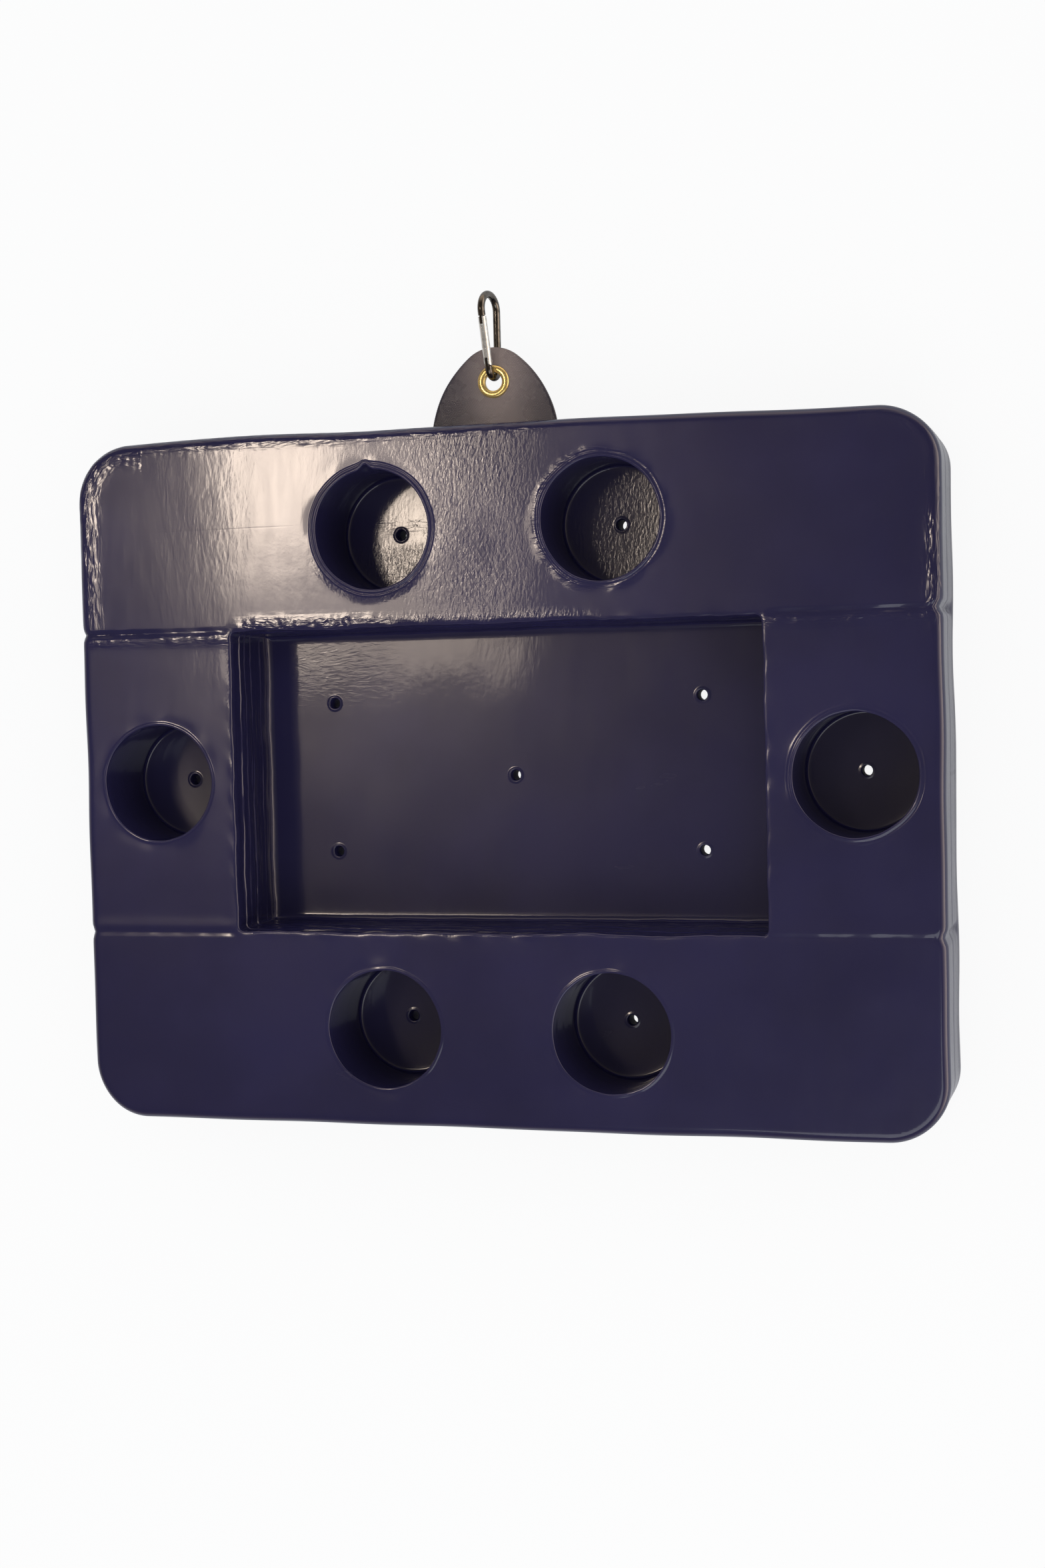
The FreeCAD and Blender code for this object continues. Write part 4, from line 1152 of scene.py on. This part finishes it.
@dataclass
class Clip:
    """Snap clip: bent rod with a pressed tang and a hooked nose, and its gate."""

    rod: float = 2.6 * MM
    small: float = 6.5 * MM
    large: float = 11.0 * MM
    length: float = 62.5 * MM
    turn: float = math.radians(12.0)
    play: float = 0.7 * MM
    pivot: float = 5.5 * MM
    latch: float = 33.8 * MM
    tang: float = 2.0 * MM
    level: float = 45.65 * MM
    hole_y: float = 278.6 * MM
    hole_radius: float = 6.35 * MM

    def __post_init__(self) -> None:
        """Work out the gate's line and the clip's place."""
        self.low = Vector((self.small, self.small + self.rod, 0.0))
        self.high = Vector((self.large, self.length - self.large - self.rod, 0.0))
        between = self.high - self.low
        self.slant = math.atan2(between.x, between.y)
        self.slant += math.asin((self.large - self.small) / between.length)
        self.along = Vector((math.sin(self.slant), math.cos(self.slant), 0.0))
        self.outward = Vector((math.cos(self.slant), -math.sin(self.slant), 0.0))
        self.foot = self.low + self.outward * self.small
        self.head = self.high + self.outward * self.large
        spin = Matrix.Rotation(-math.pi / 2.0 - self.turn, 4, "Y")
        seat = Vector((0.0, self.hole_y + self.hole_radius - self.rod - self.play, self.level))
        self.place = Matrix.Translation(seat - spin @ Vector((self.small, self.rod, 0.0))) @ spin

    def at(self, reach: float, offset: float = 0.0) -> Vector:
        """Point on the gate's line."""
        return self.foot + self.along * reach + self.outward * offset

    def centre_line(self) -> list[Vector]:
        """Points along the rod from its tang to its nose."""
        def bend(centre: Vector, radius: float, start: float, sweep: float, steps: int) -> list[Vector]:
            """Points round a bend, without its first."""
            angles = [start + sweep * step / steps for step in range(1, steps + 1)]
            return [centre + radius * Vector((math.cos(angle), math.sin(angle), 0.0)) for angle in angles]

        points = [self.at(self.pivot - 3.5 * MM), self.foot]
        points += bend(self.low, self.small, -self.slant, self.slant - math.pi, 28)
        rise_y = self.high.y - self.low.y
        points += [Vector((0.0, self.low.y + rise_y * step / 7.0, 0.0)) for step in range(1, 8)]
        points += bend(self.high, self.large, math.pi, -math.pi - self.slant, 34)
        nose = self.at(self.latch + 3.5 * MM)
        points += [self.head + (nose - self.head) * step / 4.0 for step in range(1, 5)]
        return points

    def rod_tree(self, material: bpy.types.Material) -> GeometryTree:
        """Geometry tree that sweeps a round rod along the line."""
        tree = GeometryTree("bent_rod", {"Rod Radius": self.rod}, material)
        line = tree.add("GeometryNodeMeshToCurve", None, {"Mesh": tree.entry.outputs[0]})
        section = tree.add("GeometryNodeCurvePrimitiveCircle", {"mode": "RADIUS"},
                           {"Resolution": 24, "Radius": tree.size("Rod Radius")})
        swept = tree.add("GeometryNodeCurveToMesh", None,
                         {"Curve": line.outputs[0], "Profile Curve": section.outputs[0], "Fill Caps": True})
        smooth = tree.add("GeometryNodeSetShadeSmooth", None, {"Geometry": swept.outputs[0]})
        tree.close(smooth.outputs[0])
        return tree

    def plate(self, outline: Sequence[Pair]) -> bmesh.types.BMesh:
        """Flat plate of the tang's thickness, from an outline along and across the gate's line."""
        work = bmesh.new()
        half = self.tang / 2.0
        rings = []
        for level in (-half, half):
            rings.append([work.verts.new(self.place @ (self.at(reach, offset) + Vector((0.0, 0.0, level))))
                          for reach, offset in outline])
        work.faces.new(rings[0])
        work.faces.new(list(reversed(rings[1])))
        for index in range(len(outline)):
            after = (index + 1) % len(outline)
            work.faces.new((rings[0][index], rings[0][after], rings[1][after], rings[1][index]))
        bmesh.ops.recalc_face_normals(work, faces=work.faces)
        bmesh.ops.bevel(work, geom=list(work.edges), offset=0.22 * MM, segments=2,
                        affect="EDGES", profile=0.5)
        return work

    def tang_outline(self) -> list[Pair]:
        """Tang with a round end about the rivet."""
        points = [(self.pivot - 4.1 * MM, -self.rod * 0.96), (self.pivot - 4.1 * MM, self.rod * 0.96)]
        return points + [(self.pivot + self.rod * cosine, self.rod * sine * 0.96)
                         for cosine, sine in arc(90.0, -90.0, 13)]

    def nose_outline(self) -> list[Pair]:
        """Nose with the notch that the latch pin drops into."""
        gap = 1.05 * MM
        low = self.latch - 2.2 * MM
        high = self.latch + 4.2 * MM
        points = [(low, 2.2 * MM), (high, 2.2 * MM), (high, -2.3 * MM), (self.latch + gap, -2.3 * MM),
                  (self.latch + gap, 0.0)]
        points += [(self.latch + gap * cosine, gap * sine) for cosine, sine in arc(0.0, 180.0, 7)[1:-1]]
        points += [(self.latch - gap, 0.0), (self.latch - gap, -2.3 * MM), (low, -2.3 * MM)]
        return points

    def build(self, dark: bpy.types.Material, bright: bpy.types.Material) -> bpy.types.Object:
        """Make the bent rod with its tang and nose, and dress the gate and pins."""
        points = [self.place @ point for point in self.centre_line()]
        line = bpy.data.meshes.new("clip_line")
        line.from_pydata(points, [(index, index + 1) for index in range(len(points) - 1)], [])
        piece = self.rod_tree(dark).run(finished_object("clip_rod", line, None))
        work = bmesh.new()
        work.from_mesh(piece.data)
        bmesh.ops.remove_doubles(work, verts=work.verts, dist=1e-6)
        for outline in (self.tang_outline(), self.nose_outline()):
            part = self.plate(outline)
            spare = bpy.data.meshes.new("plate")
            part.to_mesh(spare)
            work.from_mesh(spare)
            part.free()
            bpy.data.meshes.remove(spare)
        bmesh.ops.recalc_face_normals(work, faces=work.faces)
        work.to_mesh(piece.data)
        work.free()
        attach(piece, Body.CLIP.value)
        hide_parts("clip_body")
        for node in ("clip_gate", "latch_pin", "gate_rivet"):
            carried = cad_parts[node]
            carried.data.materials.clear()
            carried.data.materials.append(bright)
        return piece


@dataclass
class Studio:
    """Pale floor, soft light and the camera of the photograph."""

    eye: tuple[float, float, float] = (0.4408, 0.0593, 1.4897)
    look: tuple[float, float, float] = (-0.28322816, -0.04277702, -0.95809808)
    upward: tuple[float, float, float] = (0.01131972, 0.99878608, -0.04793993)
    lens: float = 3192.0 * 36.0 / 2352.0
    pane: float = 22.0
    wall: float = 6.0
    room: float = 0.11
    low_room: float = 0.35
    window: float = 2.5
    pane_left: Pair = (-0.4500, -0.4455)
    even_light: float = 0.82
    floor_glow: float = 0.9
    fill_place: Triple = (0.5, -1.1, 1.9)
    fill_size: Pair = (1.4, 1.0)
    fill_power: float = 7.0

    def camera(self) -> None:
        """Camera at the photograph's angle."""
        data = bpy.data.cameras.new("camera")
        data.lens = self.lens
        data.sensor_width = 36.0
        data.sensor_fit = "AUTO"
        data.clip_start = 0.01
        back = -Vector(self.look).normalized()
        right = Vector(self.upward).cross(back).normalized()
        upward = back.cross(right)
        place = Matrix((right, upward, back)).transposed().to_4x4()
        place.translation = Vector(self.eye)
        view = linked("camera", data)
        view.matrix_world = place
        bpy.context.scene.camera = view

    def floor(self) -> None:
        """Pale floor, white to the camera but for the object's shadow."""
        material = bpy.data.materials.new("pale_floor")
        material.use_nodes = True
        tree = Tree(material.node_tree)
        matt = tree.add("ShaderNodeBsdfDiffuse", None, {"Color": (0.86, 0.86, 0.86, 1.0)})
        glow = tree.add("ShaderNodeEmission", None, {"Color": WHITE, "Strength": 1.0})
        seen = Signal(tree, tree.add("ShaderNodeLightPath").outputs["Is Camera Ray"])
        mix = tree.add("ShaderNodeMixShader", None,
                       {0: seen * self.floor_glow, 1: matt.outputs[0], 2: glow.outputs[0]})
        tree.show(mix.outputs[0])
        mesh = bpy.data.meshes.new("floor")
        reach = 8.0
        corners = ((-reach, -reach), (reach, -reach), (reach, reach), (-reach, reach))
        mesh.from_pydata([(x, y, -0.4 * MM) for x, y in corners], [], [(0, 1, 2, 3)])
        finished_object("floor", mesh, material)

    def lamp(self) -> None:
        """Broad soft fill from the front."""
        data = bpy.data.lights.new("fill", "AREA")
        data.shape = "RECTANGLE"
        data.size, data.size_y = self.fill_size
        data.energy = self.fill_power
        data.color = (0.93, 0.96, 1.0)
        lamp = linked("fill", data)
        way = Vector((0.0, 0.0, 0.05)) - Vector(self.fill_place)
        lamp.rotation_euler = way.to_track_quat("-Z", "Y").to_euler()
        lamp.location = self.fill_place

    def mirrored_room(self, tree: Tree, way: Any) -> Signal:
        """What the coat mirrors: a bright pane, the lit wall beside it and a dim room.

        Args:
            tree: the world's tree.
            way: direction of the ray.

        Returns:
            Brightness in that direction.
        """
        x, y, up = tree.axes(way)
        steep = up.above(0.05)
        across = x / steep
        along = y / steep
        past_left = across.ramp(*self.pane_left)
        below_top = along.drop(0.15, 0.21)
        pane = past_left * across.drop(-0.405, -0.370) * along.ramp(0.045, 0.095) * below_top
        wall = past_left * across.drop(-0.312, -0.288) * along.ramp(0.002, 0.020) * below_top
        beside = across.ramp(-0.535, -0.430) ** 4.5 * 2.1 * across.drop(*self.pane_left)
        beside = beside * along.ramp(-0.02, 0.11) * below_top
        under = across.bell(-0.40, 0.10) * along.drop(-0.002, 0.016) * along.ramp(-0.11, 0.01)
        lit = pane * self.pane + wall * self.wall + beside * self.wall + under * 0.8
        around = x.ramp(0.45, 0.95) * 0.8 + y.ramp(0.6, 0.95) * 0.9
        around = around + x.ramp(0.55, 0.95) * up.bell(0.1, 0.35) * self.window
        around = around + up.drop(0.05, 0.55) * self.low_room
        return lit * up.ramp(0.3, 0.6) + around + self.room

    def world(self) -> None:
        """World: white to the camera, even to surfaces, and the mirrored room to reflections."""
        world = bpy.data.worlds.new("studio")
        bpy.context.scene.world = world
        world.use_nodes = True
        tree = Tree(world.node_tree)
        way = tree.add("ShaderNodeTexCoord").outputs["Generated"]
        path = tree.add("ShaderNodeLightPath")
        mirror, even, white = (
            tree.add("ShaderNodeBackground", None, {"Color": colour, "Strength": strength}).outputs[0]
            for colour, strength in (((1.0, 0.83, 0.68, 1.0), self.mirrored_room(tree, way)),
                                     ((0.97, 0.98, 1.0, 1.0), self.even_light), (WHITE, 1.0)))
        first = tree.add("ShaderNodeMixShader", None,
                         {0: path.outputs["Is Glossy Ray"], 1: even, 2: mirror})
        last = tree.add("ShaderNodeMixShader", None,
                        {0: path.outputs["Is Camera Ray"], 1: first.outputs[0], 2: white})
        tree.show(last.outputs[0], "ShaderNodeOutputWorld")

    def build(self) -> None:
        """Set up the whole studio."""
        bpy.context.scene.view_settings.view_transform = "Standard"
        self.camera()
        self.floor()
        self.lamp()
        self.world()


def main() -> None:
    """Build the studio and each sub-assembly in order, and log each piece's face count."""
    logging.basicConfig(level=logging.INFO, format="%(name)s: %(message)s")
    Studio().build()
    vinyl = NAVY_VINYL.build()
    pieces = [TraySkin().build(vinyl)]
    pieces += Grommet().build(POLISHED_BRASS.build())
    pieces.append(Tab().build(TAB_CLOTH.build()))
    pieces.append(Clip().build(DARK_NICKEL.build(), BRIGHT_NICKEL.build()))
    for piece in pieces:
        log.info("%s: %d faces", piece.name, len(piece.data.polygons))


if __name__ == "__main__":
    main()
